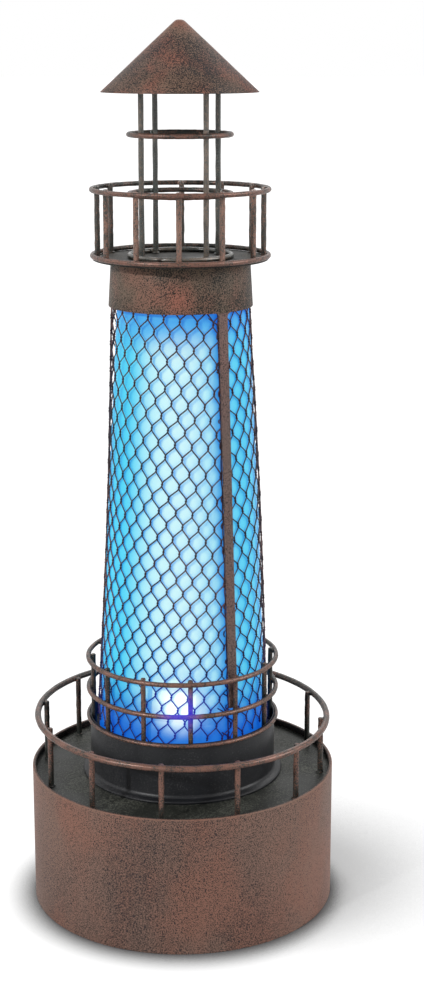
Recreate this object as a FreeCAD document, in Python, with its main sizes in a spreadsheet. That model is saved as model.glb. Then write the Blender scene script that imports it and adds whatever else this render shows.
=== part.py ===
"""Garden lighthouse light: welded sheet and wire tower with a lamp inside. Millimetres, +Z up.

The origin is the centre of the base drum's foot circle. Turns are counted about +Z from the side
that faces -Y, the front, and a positive turn goes towards +X.
"""
import FreeCAD, Part
import math
import os
import re
import Sketcher

# Driving sizes, in millimetres and degrees. Each one is a cell of the sheet.
SIZES = [
    # base drum and its deck
    ("base_radius", 127.0, "outside of the base drum"),
    ("base_height", 116.0, "floor to the drum's rim"),
    ("base_gauge", 1.2, "sheet thickness of the drum"),
    ("hem_width", 2.6, "folded rim, across"),
    ("hem_depth", 3.0, "folded rim, down"),
    ("deck_recess", 6.0, "deck below the drum's rim"),
    ("deck_gauge", 1.2, "sheet thickness of the base deck"),
    ("deck_flange", 12.0, "turned-down edge of the base deck"),
    # wire and welds
    ("rail_wire", 4.0, "wire of the gallery, lantern and inner rail"),
    ("outer_wire", 4.5, "wire of the outer rail"),
    ("weld_gap", 0.05, "air between two pieces that are welded"),
    ("post_tip", 0.6, "a post's top above its rail ring"),
    # outer rail
    ("outer_ring_radius", 121.7, "centre line"),
    ("outer_ring_rise", 48.1, "ring centre above the base deck"),
    ("outer_post_count", 12, "posts"),
    ("outer_post_turn", -7.3, "first post from the front"),
    # plinth
    ("plinth_radius", 77.5, "outside of the plinth wall"),
    ("plinth_gauge", 0.8, "sheet thickness of the plinth wall"),
    ("plinth_height", 50.0, "base deck to the plinth's rim"),
    ("foot_flange_radius", 84.0, "flange at the plinth's foot"),
    ("foot_flange_height", 2.4, "thickness of that flange"),
    ("rim_bead_wire", 3.2, "bead round the plinth's rim"),
    ("plinth_recess", 10.0, "plinth deck below the plinth's rim"),
    ("plinth_deck_gauge", 1.2, "sheet thickness of the plinth deck"),
    # inner rail
    ("inner_ring_radius", 78.6, "centre line of both rings"),
    ("inner_low_rise", 33.1, "lower ring centre above the plinth deck"),
    ("inner_top_rise", 60.1, "upper ring centre above the plinth deck"),
    ("inner_post_count", 12, "posts"),
    ("inner_post_turn", 6.0, "first post from the front"),
    # tower
    ("tower_height", 354.0, "plinth deck to the collar's lower edge"),
    ("leg_width", 8.0, "flat bar, across"),
    ("leg_gauge", 1.6, "flat bar, through"),
    ("leg_count", 2, "flat bars, evenly round the tower"),
    ("leg_foot_rise", 34.0, "foot of the bars above the plinth deck"),
    ("net_wire", 1.6, "netting wire, with its coat"),
    ("net_strands", 16, "wires round the tower"),
    ("net_rows", 17, "rows of meshes"),
    ("net_twist", 8.0, "length of a twisted side"),
    ("net_lean", 6.0, "lean of the wires"),
    ("net_tuck", 5.0, "netting inside the collar"),
    ("sleeve_gap", 1.7, "air between netting and sleeve"),
    ("sleeve_gauge", 0.8, "wall of the sleeve"),
    ("sleeve_tuck", 10.0, "sleeve inside the collar"),
    # collar
    ("collar_foot_radius", 57.8, "outside, lower edge"),
    ("collar_top_radius", 55.6, "outside, upper edge"),
    ("collar_height", 36.8, "lower edge to the gallery deck"),
    ("collar_gauge", 1.0, "sheet thickness of the collar"),
    # gallery
    ("gallery_gauge", 1.2, "sheet thickness of the gallery deck"),
    ("gallery_ring_radius", 70.0, "centre line of its rim and rail"),
    ("gallery_rail_rise", 53.7, "rail ring centre above the gallery deck"),
    ("gallery_post_count", 12, "posts"),
    ("gallery_post_turn", 0.0, "first post from the front"),
    # lantern and roof
    ("lantern_ring_radius", 40.3, "centre line of its rings"),
    ("lantern_post_count", 4, "posts"),
    ("lantern_post_turn", 34.5, "first post from the front"),
    ("lantern_middle_rise", 50.1, "middle ring centre above the gallery deck"),
    ("lantern_top_rise", 96.1, "top ring centre above the gallery deck"),
    ("roof_rise", 128.3, "roof's rim above the gallery deck"),
    ("roof_radius", 62.0, "rim of the roof"),
    ("roof_height", 54.7, "rim to tip"),
    ("roof_tip_radius", 3.2, "flat of the tip"),
    ("roof_skin", 1.1, "sheet thickness of the roof, measured upright"),
    # lamp
    ("holder_side", 44.0, "lamp holder, across"),
    ("holder_height", 8.0, "lamp holder, up"),
    ("holder_corner", 6.0, "its cut corners"),
    ("board_side", 26.0, "lamp board, across"),
    ("board_gauge", 1.6, "lamp board, through"),
    ("lamp_radius", 2.5, "one lamp"),
    ("lamp_height", 7.0, "one lamp above the board"),
    ("lamp_circle", 7.0, "lamps from the board's centre"),
    ("lamp_count", 3, "lamps"),
    # leads and screws
    ("lead_wire", 1.6, "one lead"),
    ("lead_pitch", 2.2, "between the two leads"),
    ("lead_place", 14.0, "leads behind the centre"),
    ("grommet_bore", 5.0, "hole of a grommet"),
    ("grommet_wall", 1.5, "rubber round that hole"),
    ("grommet_lip", 1.5, "flange of a grommet over the sheet"),
    ("screw_shank", 3.0, "screws, across the shank"),
    ("screw_head", 6.0, "screws, across the head"),
    ("screw_head_height", 2.0, "screws, up the head"),
    ("screw_length", 7.0, "screws under the head"),
    ("screw_gap", 0.05, "air round a shank"),
    ("lamp_screw_spread", 32.0, "between the lamp holder's two screws"),
    ("box_screw_spread", 72.0, "between the battery box's two screws"),
    # battery box
    ("box_length", 58.0, "along X"),
    ("box_width", 64.0, "along Y"),
    ("box_height", 21.0, "under the base deck"),
    ("box_wall", 2.0, "walls and top"),
    ("box_shift", -12.0, "box centre behind the object's centre"),
    ("ear_length", 11.0, "screw ears at the box's ends"),
    ("ear_width", 22.0, "screw ears, across"),
    ("ear_height", 8.0, "screw ears, up"),
    ("rail_lip", 1.2, "rails that hold the cover"),
    ("rail_reach", 1.6, "rails, inwards"),
    ("cover_gauge", 2.0, "battery cover"),
    ("cover_gap", 0.3, "air round the sliding cover"),
    ("grip_rib", 1.2, "grip ribs on the cover"),
    ("grip_count", 4, "grip ribs"),
    ("grip_width", 38.0, "grip ribs, along Y"),
    ("grip_inset", 3.6, "first grip rib from the cover's open end"),
    ("cell_radius", 7.1, "one cell"),
    ("cell_length", 48.5, "one cell"),
    ("cell_pitch", 14.8, "between two cells"),
    ("cell_count", 3, "cells"),
    ("contact_gauge", 0.4, "contact strips, through"),
    ("contact_width", 7.0, "contact strips, across"),
    # switch
    ("switch_length", 12.0, "switch body along X"),
    ("switch_width", 6.0, "switch body along Y"),
    ("switch_height", 7.0, "switch body along Z"),
    ("knob_length", 5.0, "knob along its way"),
    ("knob_height", 4.0, "knob, up"),
    ("knob_reach", 2.4, "knob outside the box wall"),
    ("stem_side", 2.0, "knob's stem in the switch"),
    ("stem_depth", 2.0, "knob's stem in the switch"),
    ("knob_travel", 4.0, "way from off to on"),
    ("knob_gap", 0.3, "air round the knob"),
]
NAMES = {name for name, _, _ in SIZES}

# Drawing counts: how many flats stand for a full round, and for the section of a wire or a cell.
# The flats of a ring are a multiple of its posts, so that each post meets a bend.
SHEET_FLAT_COUNT = 72
RING_FLAT_COUNT = 36
LANTERN_FLAT_COUNT = 24
GROMMET_FLAT_COUNT = 12
WIRE_FLAT_COUNT = 6
NET_FLAT_COUNT = 3
CELL_FLAT_COUNT = 16

doc = FreeCAD.newDocument("garden_lighthouse")
sheet = doc.addObject("Spreadsheet::Sheet", "Sizes")


def fill_sheet():
    """One row per size: its name, its plain number, which has the alias, and what it measures."""
    for row, (name, value, note) in enumerate(SIZES, start=1):
        sheet.set(f"A{row}", name)
        sheet.set(f"B{row}", str(value))
        sheet.set(f"C{row}", note)
        sheet.setAlias(f"B{row}", name)
    doc.recompute()


fill_sheet()


def sized(formula):
    """The formula as an expression, with the sheet's name before each size in it."""
    return re.sub(r"[a-z_]+", lambda word: f"Sizes.{word[0]}" if word[0] in NAMES else word[0], str(formula))


def number(formula):
    """What the formula is worth with the sheet's present numbers."""
    return float(sheet.evalExpression(sized(formula)))


# Heights and radii that several pieces share, as formulas of the sizes.
DECK_TOP = "(base_height - deck_recess)"
PLINTH_TOP = f"({DECK_TOP} + plinth_height)"
PLINTH_DECK_TOP = f"({PLINTH_TOP} - plinth_recess)"
COLLAR_FOOT = f"({PLINTH_DECK_TOP} + tower_height)"
GALLERY_TOP = f"({COLLAR_FOOT} + collar_height + gallery_gauge)"
ROOF_RIM = f"({GALLERY_TOP} + roof_rise)"
OUTER_POST_RADIUS = "(outer_ring_radius - outer_wire - weld_gap)"
INNER_POST_RADIUS = "(inner_ring_radius - rail_wire - weld_gap)"
GALLERY_POST_RADIUS = "(gallery_ring_radius - rail_wire - weld_gap)"
LANTERN_POST_RADIUS = "(lantern_ring_radius - rail_wire - weld_gap)"
ROOF_SLOPE = "(roof_height / (roof_radius - roof_tip_radius))"
BOX_TOP = f"({DECK_TOP} - deck_gauge)"
PILOT = "(screw_shank / 2 + screw_gap)"
GROMMET_HOLE = "(grommet_bore / 2 + grommet_wall)"

# The tower's taper: the bars lie flush with the collar above and behind the inner rail's posts below.
BAR_FOOT_RADIUS = f"({INNER_POST_RADIUS} - rail_wire / 2 - weld_gap)"
TAPER = f"(({BAR_FOOT_RADIUS} - collar_foot_radius) / (tower_height - leg_foot_rise))"


def bar_face(rise):
    """Outer face of the bars, at a rise above the plinth deck."""
    return f"(collar_foot_radius + (tower_height - ({rise})) * {TAPER})"


def net_face(rise):
    """Outside of the netting, just inside the bars."""
    return f"({bar_face(rise)} - leg_gauge - weld_gap)"


def sleeve_face(rise):
    """Outside of the sleeve, inside the netting."""
    return f"({net_face(rise)} - net_wire - sleeve_gap)"


def bind(thing, name, formula):
    """Set a property by a formula of the sheet."""
    thing.setExpression(name, sized(formula))


def place(thing, x="0", y="0", z="0", turn=None):
    """Bind a sub-part's place, and its turn from the front."""
    bind(thing, "Placement.Base.x", x)
    bind(thing, "Placement.Base.y", y)
    bind(thing, "Placement.Base.z", z)
    if turn is not None:
        thing.Placement = FreeCAD.Placement(FreeCAD.Vector(), FreeCAD.Rotation(FreeCAD.Vector(0, 0, 1), 1))
        bind(thing, "Placement.Rotation.Angle", turn)
    return thing


def new_body(label, **where):
    """An empty body of that name, in its place."""
    body = doc.addObject("PartDesign::Body", label)
    body.Label = label
    return place(body, **where)


def datum(body, role):
    """One of the body's own origin planes or axes."""
    return next(item for item in body.Origin.OriginFeatures if item.Role == role)


def new_sketch(body, name, role):
    sketch = body.newObject("Sketcher::SketchObject", name)
    sketch.AttachmentSupport = [(datum(body, role), "")]
    sketch.MapMode = "FlatFace"
    return sketch


def pin_point(sketch, index, corner, along, formula):
    """Hold one coordinate of a sketch point: on its axis where it is 0, at a bound distance elsewhere."""
    axis = -2 if along == "DistanceX" else -1
    if str(formula) == "0":
        sketch.addConstraint(Sketcher.Constraint("PointOnObject", index, corner, axis))
        return
    held = sketch.addConstraint(Sketcher.Constraint(along, -1, 1, index, corner, number(formula)))
    bind(sketch, f"Constraints[{held}]", formula)


def outline(body, name, role, points):
    """A closed sketch of straight lines through the points, whose coordinates are formulas."""
    sketch = new_sketch(body, name, role)
    spots = [FreeCAD.Vector(number(x), number(y), 0) for x, y in points]
    last = len(points)
    for index in range(last):
        sketch.addGeometry(Part.LineSegment(spots[index], spots[(index + 1) % last]))
    for index in range(last):
        sketch.addConstraint(Sketcher.Constraint("Coincident", index, 2, (index + 1) % last, 1))
    for index, (x, y) in enumerate(points):
        pin_point(sketch, index, 1, "DistanceX", x)
        pin_point(sketch, index, 1, "DistanceY", y)
    return sketch


def box_outline(body, name, role, low_x, low_y, high_x, high_y):
    return outline(body, name, role, [(low_x, low_y), (high_x, low_y), (high_x, high_y), (low_x, high_y)])


def circles(body, name, role, rounds):
    """A sketch of circles, each given as x, y and radius."""
    sketch = new_sketch(body, name, role)
    for index, (x, y, radius) in enumerate(rounds):
        centre = FreeCAD.Vector(number(x), number(y), 0)
        sketch.addGeometry(Part.Circle(centre, FreeCAD.Vector(0, 0, 1), number(radius)))
        pin_point(sketch, index, 3, "DistanceX", x)
        pin_point(sketch, index, 3, "DistanceY", y)
        held = sketch.addConstraint(Sketcher.Constraint("Radius", index, number(radius)))
        bind(sketch, f"Constraints[{held}]", radius)
    return sketch


def raised(sketch, height):
    """Move a sketch along its plane's normal."""
    sketch.AttachmentOffset = FreeCAD.Placement(FreeCAD.Vector(0, 0, 1), FreeCAD.Rotation())
    bind(sketch, "AttachmentOffset.Base.z", height)
    return sketch


def padded(body, sketch, length, both_ways=False):
    feature = body.newObject("PartDesign::Pad", f"{sketch.Name}_pad")
    feature.Profile = sketch
    feature.Midplane = both_ways
    bind(feature, "Length", length)
    body.Tip = feature
    return feature


def pocketed(body, sketch, depth=None, upwards=False, both_ways=False):
    """Cut the sketch out of the body, and make sure that it has cut something."""
    doc.recompute()
    before = body.Shape.Volume
    feature = body.newObject("PartDesign::Pocket", f"{sketch.Name}_pocket")
    feature.Profile = sketch
    feature.Reversed = upwards
    feature.Midplane = both_ways
    if depth is None:
        feature.Type = "ThroughAll"
    else:
        bind(feature, "Length", depth)
    body.Tip = feature
    doc.recompute()
    if body.Shape.Volume >= before:
        raise RuntimeError(f"{feature.Name} cuts nothing")
    return feature


def prism(body, name, flats, radius, height, x="0", y="0", z="0", hollow=False):
    """An upright flat-sided rod, added to the body or taken out of it."""
    rod = body.newObject("PartDesign::SubtractivePrism" if hollow else "PartDesign::AdditivePrism", name)
    rod.Polygon = flats
    bind(rod, "Circumradius", radius)
    bind(rod, "Height", height)
    bind(rod, "Placement.Base.x", x)
    bind(rod, "Placement.Base.y", y)
    bind(rod, "Placement.Base.z", z)
    body.Tip = rod
    return rod


def repeated(body, feature, count):
    """Repeat a feature round the body's upright axis."""
    pattern = body.newObject("PartDesign::PolarPattern", f"{body.Name}_pattern")
    pattern.Originals = [feature]
    pattern.Axis = (datum(body, "Z_Axis"), [""])
    pattern.Angle = 360
    bind(pattern, "Occurrences", count)
    body.Tip = pattern
    return pattern


# Sheet metal ------------------------------------------------------------------------------------


def round_path(radius, bends):
    """A closed polygon about the Z axis, with its first corner at the front."""
    corners = [FreeCAD.Vector(radius * math.sin(angle), -radius * math.cos(angle), 0)
               for angle in (math.tau * step / bends for step in range(bends))]
    return Part.makePolygon(corners + corners[:1])


def rolled(label, outline_points, bends, **where):
    """Sweep an outline of radii and heights round the Z axis, in flats with mitred bends."""
    spots = [(number(radius), number(height)) for radius, height in outline_points]
    middle = sum(radius for radius, _ in spots) / len(spots)
    section = [FreeCAD.Vector(0, -radius, height) for radius, height in spots]
    mitred = 1
    piece = doc.addObject("Part::Feature", label)
    piece.Label = label
    piece.Shape = round_path(middle, bends).makePipeShell(
        [Part.makePolygon(section + section[:1])], True, False, mitred)
    return place(piece, **where)


def make_base_drum():
    """Open-bottomed sheet band; its rim is folded inwards and down."""
    body = new_body("base_drum")
    under_hem = "(base_height - hem_depth)"
    prism(body, "base_drum_band", SHEET_FLAT_COUNT, "base_radius", "base_height")
    prism(body, "base_drum_inside", SHEET_FLAT_COUNT, "base_radius - base_gauge", under_hem, hollow=True)
    prism(body, "base_drum_mouth", SHEET_FLAT_COUNT, "base_radius - hem_width", "hem_depth",
          z=under_hem, hollow=True)
    return body


def make_base_deck():
    """Pressed pan under the hem, with holes for the leads and the box's screws."""
    body = new_body("base_deck", z=DECK_TOP)
    edge = "base_radius - base_gauge - weld_gap"
    prism(body, "base_deck_pan", SHEET_FLAT_COUNT, edge, "deck_flange", z="-deck_flange")
    prism(body, "base_deck_underside", SHEET_FLAT_COUNT, f"{edge} - deck_gauge", "deck_flange - deck_gauge",
          z="-deck_flange", hollow=True)
    prism(body, "base_deck_lead_hole", GROMMET_FLAT_COUNT, GROMMET_HOLE, "deck_gauge", y="lead_place",
          z="-deck_gauge", hollow=True)
    pocketed(body, circles(body, "base_deck_pilots", "XY_Plane", [
        ("box_screw_spread / 2", "box_shift", PILOT), ("-box_screw_spread / 2", "box_shift", PILOT)]))
    return body


def make_plinth_drum():
    """Low band that stands on the base deck by a foot flange."""
    body = new_body("plinth_drum", z=DECK_TOP)
    prism(body, "plinth_drum_flange", SHEET_FLAT_COUNT, "foot_flange_radius", "foot_flange_height")
    prism(body, "plinth_drum_band", SHEET_FLAT_COUNT, "plinth_radius", "plinth_height")
    prism(body, "plinth_drum_inside", SHEET_FLAT_COUNT, "plinth_radius - plinth_gauge", "plinth_height",
          hollow=True)
    return body


def make_plinth_deck():
    """Disc inside the plinth wall; the sleeve, the netting and the inner rail stand on it."""
    body = new_body("plinth_deck", z=PLINTH_DECK_TOP)
    prism(body, "plinth_deck_disc", SHEET_FLAT_COUNT, "plinth_radius - plinth_gauge - weld_gap",
          "plinth_deck_gauge", z="-plinth_deck_gauge")
    prism(body, "plinth_deck_lead_hole", GROMMET_FLAT_COUNT, GROMMET_HOLE, "plinth_deck_gauge",
          y="lead_place", z="-plinth_deck_gauge", hollow=True)
    pocketed(body, circles(body, "plinth_deck_pilots", "XY_Plane", [
        ("lamp_screw_spread / 2", "0", PILOT), ("-lamp_screw_spread / 2", "0", PILOT)]))
    return body


def make_collar():
    """Tapered band over the tower's top; the gallery deck lies on its upper edge."""
    return rolled("collar", [("collar_foot_radius - collar_gauge", "0"), ("collar_foot_radius", "0"),
                             ("collar_top_radius", "collar_height"),
                             ("collar_top_radius - collar_gauge", "collar_height")],
                  SHEET_FLAT_COUNT, z=COLLAR_FOOT)


def make_gallery_deck():
    body = new_body("gallery_deck", z=f"{GALLERY_TOP} - gallery_gauge")
    prism(body, "gallery_deck_disc", SHEET_FLAT_COUNT, "gallery_ring_radius", "gallery_gauge")
    return body


def make_roof_cone():
    """Rolled cone of even sheet with a sharp rim, closed by a small flat tip."""
    roof = rolled("roof_cone", [(f"roof_radius - roof_skin / {ROOF_SLOPE}", "0"), ("roof_radius", "0"),
                                ("roof_tip_radius", "roof_height"),
                                ("roof_tip_radius", "roof_height - roof_skin")], SHEET_FLAT_COUNT, z=ROOF_RIM)
    place_of_roof = roof.Placement
    edge = round_path(number("roof_tip_radius"), SHEET_FLAT_COUNT)
    edge.translate(FreeCAD.Vector(0, 0, number("roof_height - roof_skin")))
    tip = Part.Face(edge).extrude(FreeCAD.Vector(0, 0, number("roof_skin")))
    roof.Shape = roof.Shape.fuse(tip).removeSplitter()
    roof.Placement = place_of_roof
    return roof


# Wire rings and posts ---------------------------------------------------------------------------


def make_ring(label, radius, height, wire, bends, turn="0"):
    """A closed wire ring whose bends line up with the posts that it is welded to."""
    section = []
    for flat in range(WIRE_FLAT_COUNT):
        angle = math.tau * (flat + 0.5) / WIRE_FLAT_COUNT
        section.append((f"{radius} + {wire} / 2 * {math.cos(angle)}", f"{wire} / 2 * {math.sin(angle)}"))
    return rolled(label, section, bends, z=height, turn=turn)


def make_posts(label, radius, foot, height, wire, count, turn):
    """Upright wires in a circle, each a solid of its own."""
    body = new_body(label, z=foot, turn=turn)
    first = prism(body, f"{label}_first", WIRE_FLAT_COUNT, f"{wire} / 2", height, y=f"-{radius}")
    repeated(body, first, count)
    return body


def make_rails():
    """The three rails, the lantern cage and the beads of the plinth and the gallery."""
    bead_bend = 1 / math.cos(math.pi / RING_FLAT_COUNT)
    bead_radius = f"(plinth_radius + weld_gap + rim_bead_wire / 2) * {bead_bend}"
    bead_height = f"{PLINTH_TOP} - rim_bead_wire / 2"
    lantern_post_top = (f"(roof_rise + (roof_radius - {LANTERN_POST_RADIUS} - rail_wire / 2) * {ROOF_SLOPE}"
                        " - roof_skin - weld_gap)")
    return [
        make_posts("outer_rail_posts", OUTER_POST_RADIUS, DECK_TOP,
                   "outer_ring_rise + outer_wire / 2 + post_tip", "outer_wire",
                   "outer_post_count", "outer_post_turn"),
        make_ring("outer_rail_ring", "outer_ring_radius", f"{DECK_TOP} + outer_ring_rise", "outer_wire",
                  RING_FLAT_COUNT, "outer_post_turn"),
        make_ring("plinth_rim_wire", bead_radius, bead_height, "rim_bead_wire", RING_FLAT_COUNT),
        make_posts("inner_rail_posts", INNER_POST_RADIUS, PLINTH_DECK_TOP,
                   "inner_top_rise + rail_wire / 2 + post_tip", "rail_wire",
                   "inner_post_count", "inner_post_turn"),
        make_ring("inner_rail_low_ring", "inner_ring_radius", f"{PLINTH_DECK_TOP} + inner_low_rise",
                  "rail_wire", RING_FLAT_COUNT, "inner_post_turn"),
        make_ring("inner_rail_top_ring", "inner_ring_radius", f"{PLINTH_DECK_TOP} + inner_top_rise",
                  "rail_wire", RING_FLAT_COUNT, "inner_post_turn"),
        make_ring("gallery_rim_wire", "gallery_ring_radius", f"{GALLERY_TOP} + rail_wire / 2",
                  "rail_wire", RING_FLAT_COUNT, "gallery_post_turn"),
        make_posts("gallery_rail_posts", GALLERY_POST_RADIUS, GALLERY_TOP,
                   "gallery_rail_rise + rail_wire / 2 + post_tip / 2", "rail_wire",
                   "gallery_post_count", "gallery_post_turn"),
        make_ring("gallery_rail_ring", "gallery_ring_radius", f"{GALLERY_TOP} + gallery_rail_rise",
                  "rail_wire", RING_FLAT_COUNT, "gallery_post_turn"),
        make_posts("lantern_posts", LANTERN_POST_RADIUS, GALLERY_TOP, lantern_post_top, "rail_wire",
                   "lantern_post_count", "lantern_post_turn"),
        make_ring("lantern_foot_ring", "lantern_ring_radius", f"{GALLERY_TOP} + rail_wire / 2",
                  "rail_wire", LANTERN_FLAT_COUNT, "lantern_post_turn"),
        make_ring("lantern_middle_ring", "lantern_ring_radius", f"{GALLERY_TOP} + lantern_middle_rise",
                  "rail_wire", LANTERN_FLAT_COUNT, "lantern_post_turn"),
        make_ring("lantern_top_ring", "lantern_ring_radius", f"{GALLERY_TOP} + lantern_top_rise",
                  "rail_wire", LANTERN_FLAT_COUNT, "lantern_post_turn"),
    ]


# Tower ------------------------------------------------------------------------------------------


def make_tower_legs():
    """Leaning flat bars: each hangs from the collar's edge and is welded behind a post of the inner rail."""
    second_post = "inner_post_turn + 360 / inner_post_count"
    sketch_side = 90
    body = new_body("tower_legs", z=PLINTH_DECK_TOP, turn=f"{second_post} - {sketch_side}")
    foot = "leg_foot_rise"
    top = "tower_height"
    sketch = outline(body, "tower_legs_side", "XZ_Plane", [
        (bar_face(foot), foot), (bar_face(top), top),
        (f"{bar_face(top)} - leg_gauge", top), (f"{bar_face(foot)} - leg_gauge", foot)])
    repeated(body, padded(body, sketch, "leg_width", both_ways=True), "leg_count")
    return body


def net_wire_path(first_turn):
    """One wire of the netting: it leans round the tower and twists with each neighbour in turn."""
    strands = int(number("net_strands"))
    rows = int(number("net_rows"))
    wire = number("net_wire")
    twist = number("net_twist")
    foot = wire / 2 + number("weld_gap")
    pitch = (number("tower_height + net_tuck") - 2 * foot) / rows
    base = number(net_face("0")) - wire / 2
    taper = number(TAPER)
    lean = math.tan(math.radians(number("net_lean")))
    side_by_side = wire / 2 + number("weld_gap")
    points = []
    for row in range(rows):
        side = 1 if row % 2 == 0 else -1
        middle = foot + (row + 0.5) * pitch
        for rise in (middle - twist / 2, middle + twist / 2):
            radius = base - rise * taper
            turn = first_turn + side * (math.pi / strands - side_by_side / radius) + lean * rise / radius
            points.append(FreeCAD.Vector(radius * math.sin(turn), -radius * math.cos(turn), rise))
    return points


def swept_wire(points, wire):
    """Sweep a flat-sided wire along straight runs with mitred bends."""
    start = points[0]
    along = (points[1] - start).normalize()
    outwards = FreeCAD.Vector(start.x, start.y, 0).normalize()
    outwards = (outwards - along * outwards.dot(along)).normalize()
    across = along.cross(outwards)
    section = [start + (outwards * math.cos(angle) + across * math.sin(angle)) * (wire / 2)
               for angle in (math.tau * flat / NET_FLAT_COUNT for flat in range(NET_FLAT_COUNT))]
    mitred = 1
    path = Part.makePolygon(points)
    return path.makePipeShell([Part.makePolygon(section + section[:1])], True, False, mitred)


def make_tower_netting():
    """Hexagonal twisted-wire netting rolled into a cone: one wire, repeated round the tower."""
    strands = int(number("net_strands"))
    first = swept_wire(net_wire_path(0.0), number("net_wire"))
    wires = []
    for strand in range(strands):
        wire = first.copy()
        wire.rotate(FreeCAD.Vector(), FreeCAD.Vector(0, 0, 1), 360.0 * strand / strands)
        wires.append(wire)
    netting = doc.addObject("Part::Feature", "tower_netting")
    netting.Label = "tower_netting"
    netting.Shape = Part.makeCompound(wires)
    return place(netting, z=PLINTH_DECK_TOP)


def make_light_sleeve():
    """Translucent tapered tube; it stands on the plinth deck and ends inside the collar."""
    top = "tower_height + sleeve_tuck"
    return rolled("light_sleeve", [
        (f"{sleeve_face('0')} - sleeve_gauge", "0"), (sleeve_face("0"), "0"),
        (sleeve_face(top), top), (f"{sleeve_face(top)} - sleeve_gauge", top)],
                  SHEET_FLAT_COUNT, z=PLINTH_DECK_TOP)


# Lamp, leads and battery box --------------------------------------------------------------------

def make_lamp_holder():
    """Plastic puck with cut corners; the leads come up into a way in its underside."""
    body = new_body("lamp_holder", z=PLINTH_DECK_TOP)
    half = "holder_side / 2"
    plan = box_outline(body, "lamp_holder_plan", "XY_Plane", f"-{half}", f"-{half}", half, half)
    block = padded(body, plan, "holder_height")
    doc.recompute()
    uprights = [f"Edge{index}" for index, edge in enumerate(block.Shape.Edges, start=1)
                if abs(edge.tangentAt(edge.FirstParameter).z) > 0.9]
    corners = body.newObject("PartDesign::Chamfer", "lamp_holder_corners")
    corners.Base = (block, uprights)
    bind(corners, "Size", "holder_corner")
    body.Tip = corners
    pilots = circles(body, "lamp_holder_pilots", "XY_Plane",
                     [("lamp_screw_spread / 2", "0", PILOT), ("-lamp_screw_spread / 2", "0", PILOT)])
    pocketed(body, pilots, "screw_length - plinth_deck_gauge + screw_gap", upwards=True)
    reach = f"({GROMMET_HOLE} + grommet_lip + weld_gap)"
    way = box_outline(body, "lamp_holder_way", "XY_Plane", f"-{reach}", "0", reach, f"lead_place + {reach}")
    pocketed(body, way, "holder_height / 2", upwards=True)
    return body


def make_led_board():
    body = new_body("led_board", z=f"{PLINTH_DECK_TOP} + holder_height")
    half = "board_side / 2"
    plan = box_outline(body, "led_board_plan", "XY_Plane", f"-{half}", f"-{half}", half, half)
    padded(body, plan, "board_gauge")
    return body


def make_led_lamps():
    """Upright lamps in a circle on the board."""
    body = new_body("led_lamps", z=f"{PLINTH_DECK_TOP} + holder_height + board_gauge")
    first = prism(body, "led_lamps_first", WIRE_FLAT_COUNT, "lamp_radius", "lamp_height", x="lamp_circle")
    repeated(body, first, "lamp_count")
    return body


def make_screws(label, seat, spread, shift, heads_down):
    """A pair of screws: heads seated on the sheet, shanks through it."""
    body = new_body(label, y=shift, z=seat)
    for side, x in (("right", f"{spread} / 2"), ("left", f"-{spread} / 2")):
        prism(body, f"{label}_{side}_head", WIRE_FLAT_COUNT, "screw_head / 2", "screw_head_height", x=x,
              z="-screw_head_height" if heads_down else "0")
        prism(body, f"{label}_{side}_shank", WIRE_FLAT_COUNT, "screw_shank / 2", "screw_length", x=x,
              z="0" if heads_down else "-screw_length")
    return body


def make_grommet(label, sheet_top, gauge):
    """Rubber ring in a sheet's hole, with a lip on top of the sheet."""
    bore = "grommet_bore / 2"
    neck = f"{GROMMET_HOLE} - weld_gap"
    lip = f"{GROMMET_HOLE} + grommet_lip"
    return rolled(label, [(bore, f"-{gauge}"), (neck, f"-{gauge}"), (neck, "0"), (lip, "0"),
                          (lip, "grommet_lip"), (bore, "grommet_lip")],
                  GROMMET_FLAT_COUNT, y="lead_place", z=sheet_top)


SWITCH_TOP = f"({BOX_TOP} - box_height / 2 + switch_height / 2)"


def make_lead_wires():
    """Two leads, straight up from the switch through both grommets into the lamp holder."""
    body = new_body("lead_wires", y="lead_place", z=SWITCH_TOP)
    length = f"{PLINTH_DECK_TOP} + holder_height / 2 - {SWITCH_TOP}"
    for name, x in (("lead_wires_plus", "lead_pitch / 2"), ("lead_wires_minus", "-lead_pitch / 2")):
        prism(body, name, WIRE_FLAT_COUNT, "lead_wire / 2", length, x=x)
    return body


# The battery box's own frame: its centre under the deck's underside, so heights in it are negative.
HALF_LENGTH = "box_length / 2"
HALF_WIDTH = "box_width / 2"
CHANNEL = "(cover_gauge + 2 * cover_gap)"
CHANNEL_TOP = f"(rail_lip + {CHANNEL} - box_height)"
BAY_DEPTH = f"(box_height - box_wall - rail_lip - {CHANNEL})"
BAY_EDGE = f"(box_wall + cell_count * cell_pitch - {HALF_WIDTH})"
SWITCH_MIDDLE = "-box_height / 2"


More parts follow.
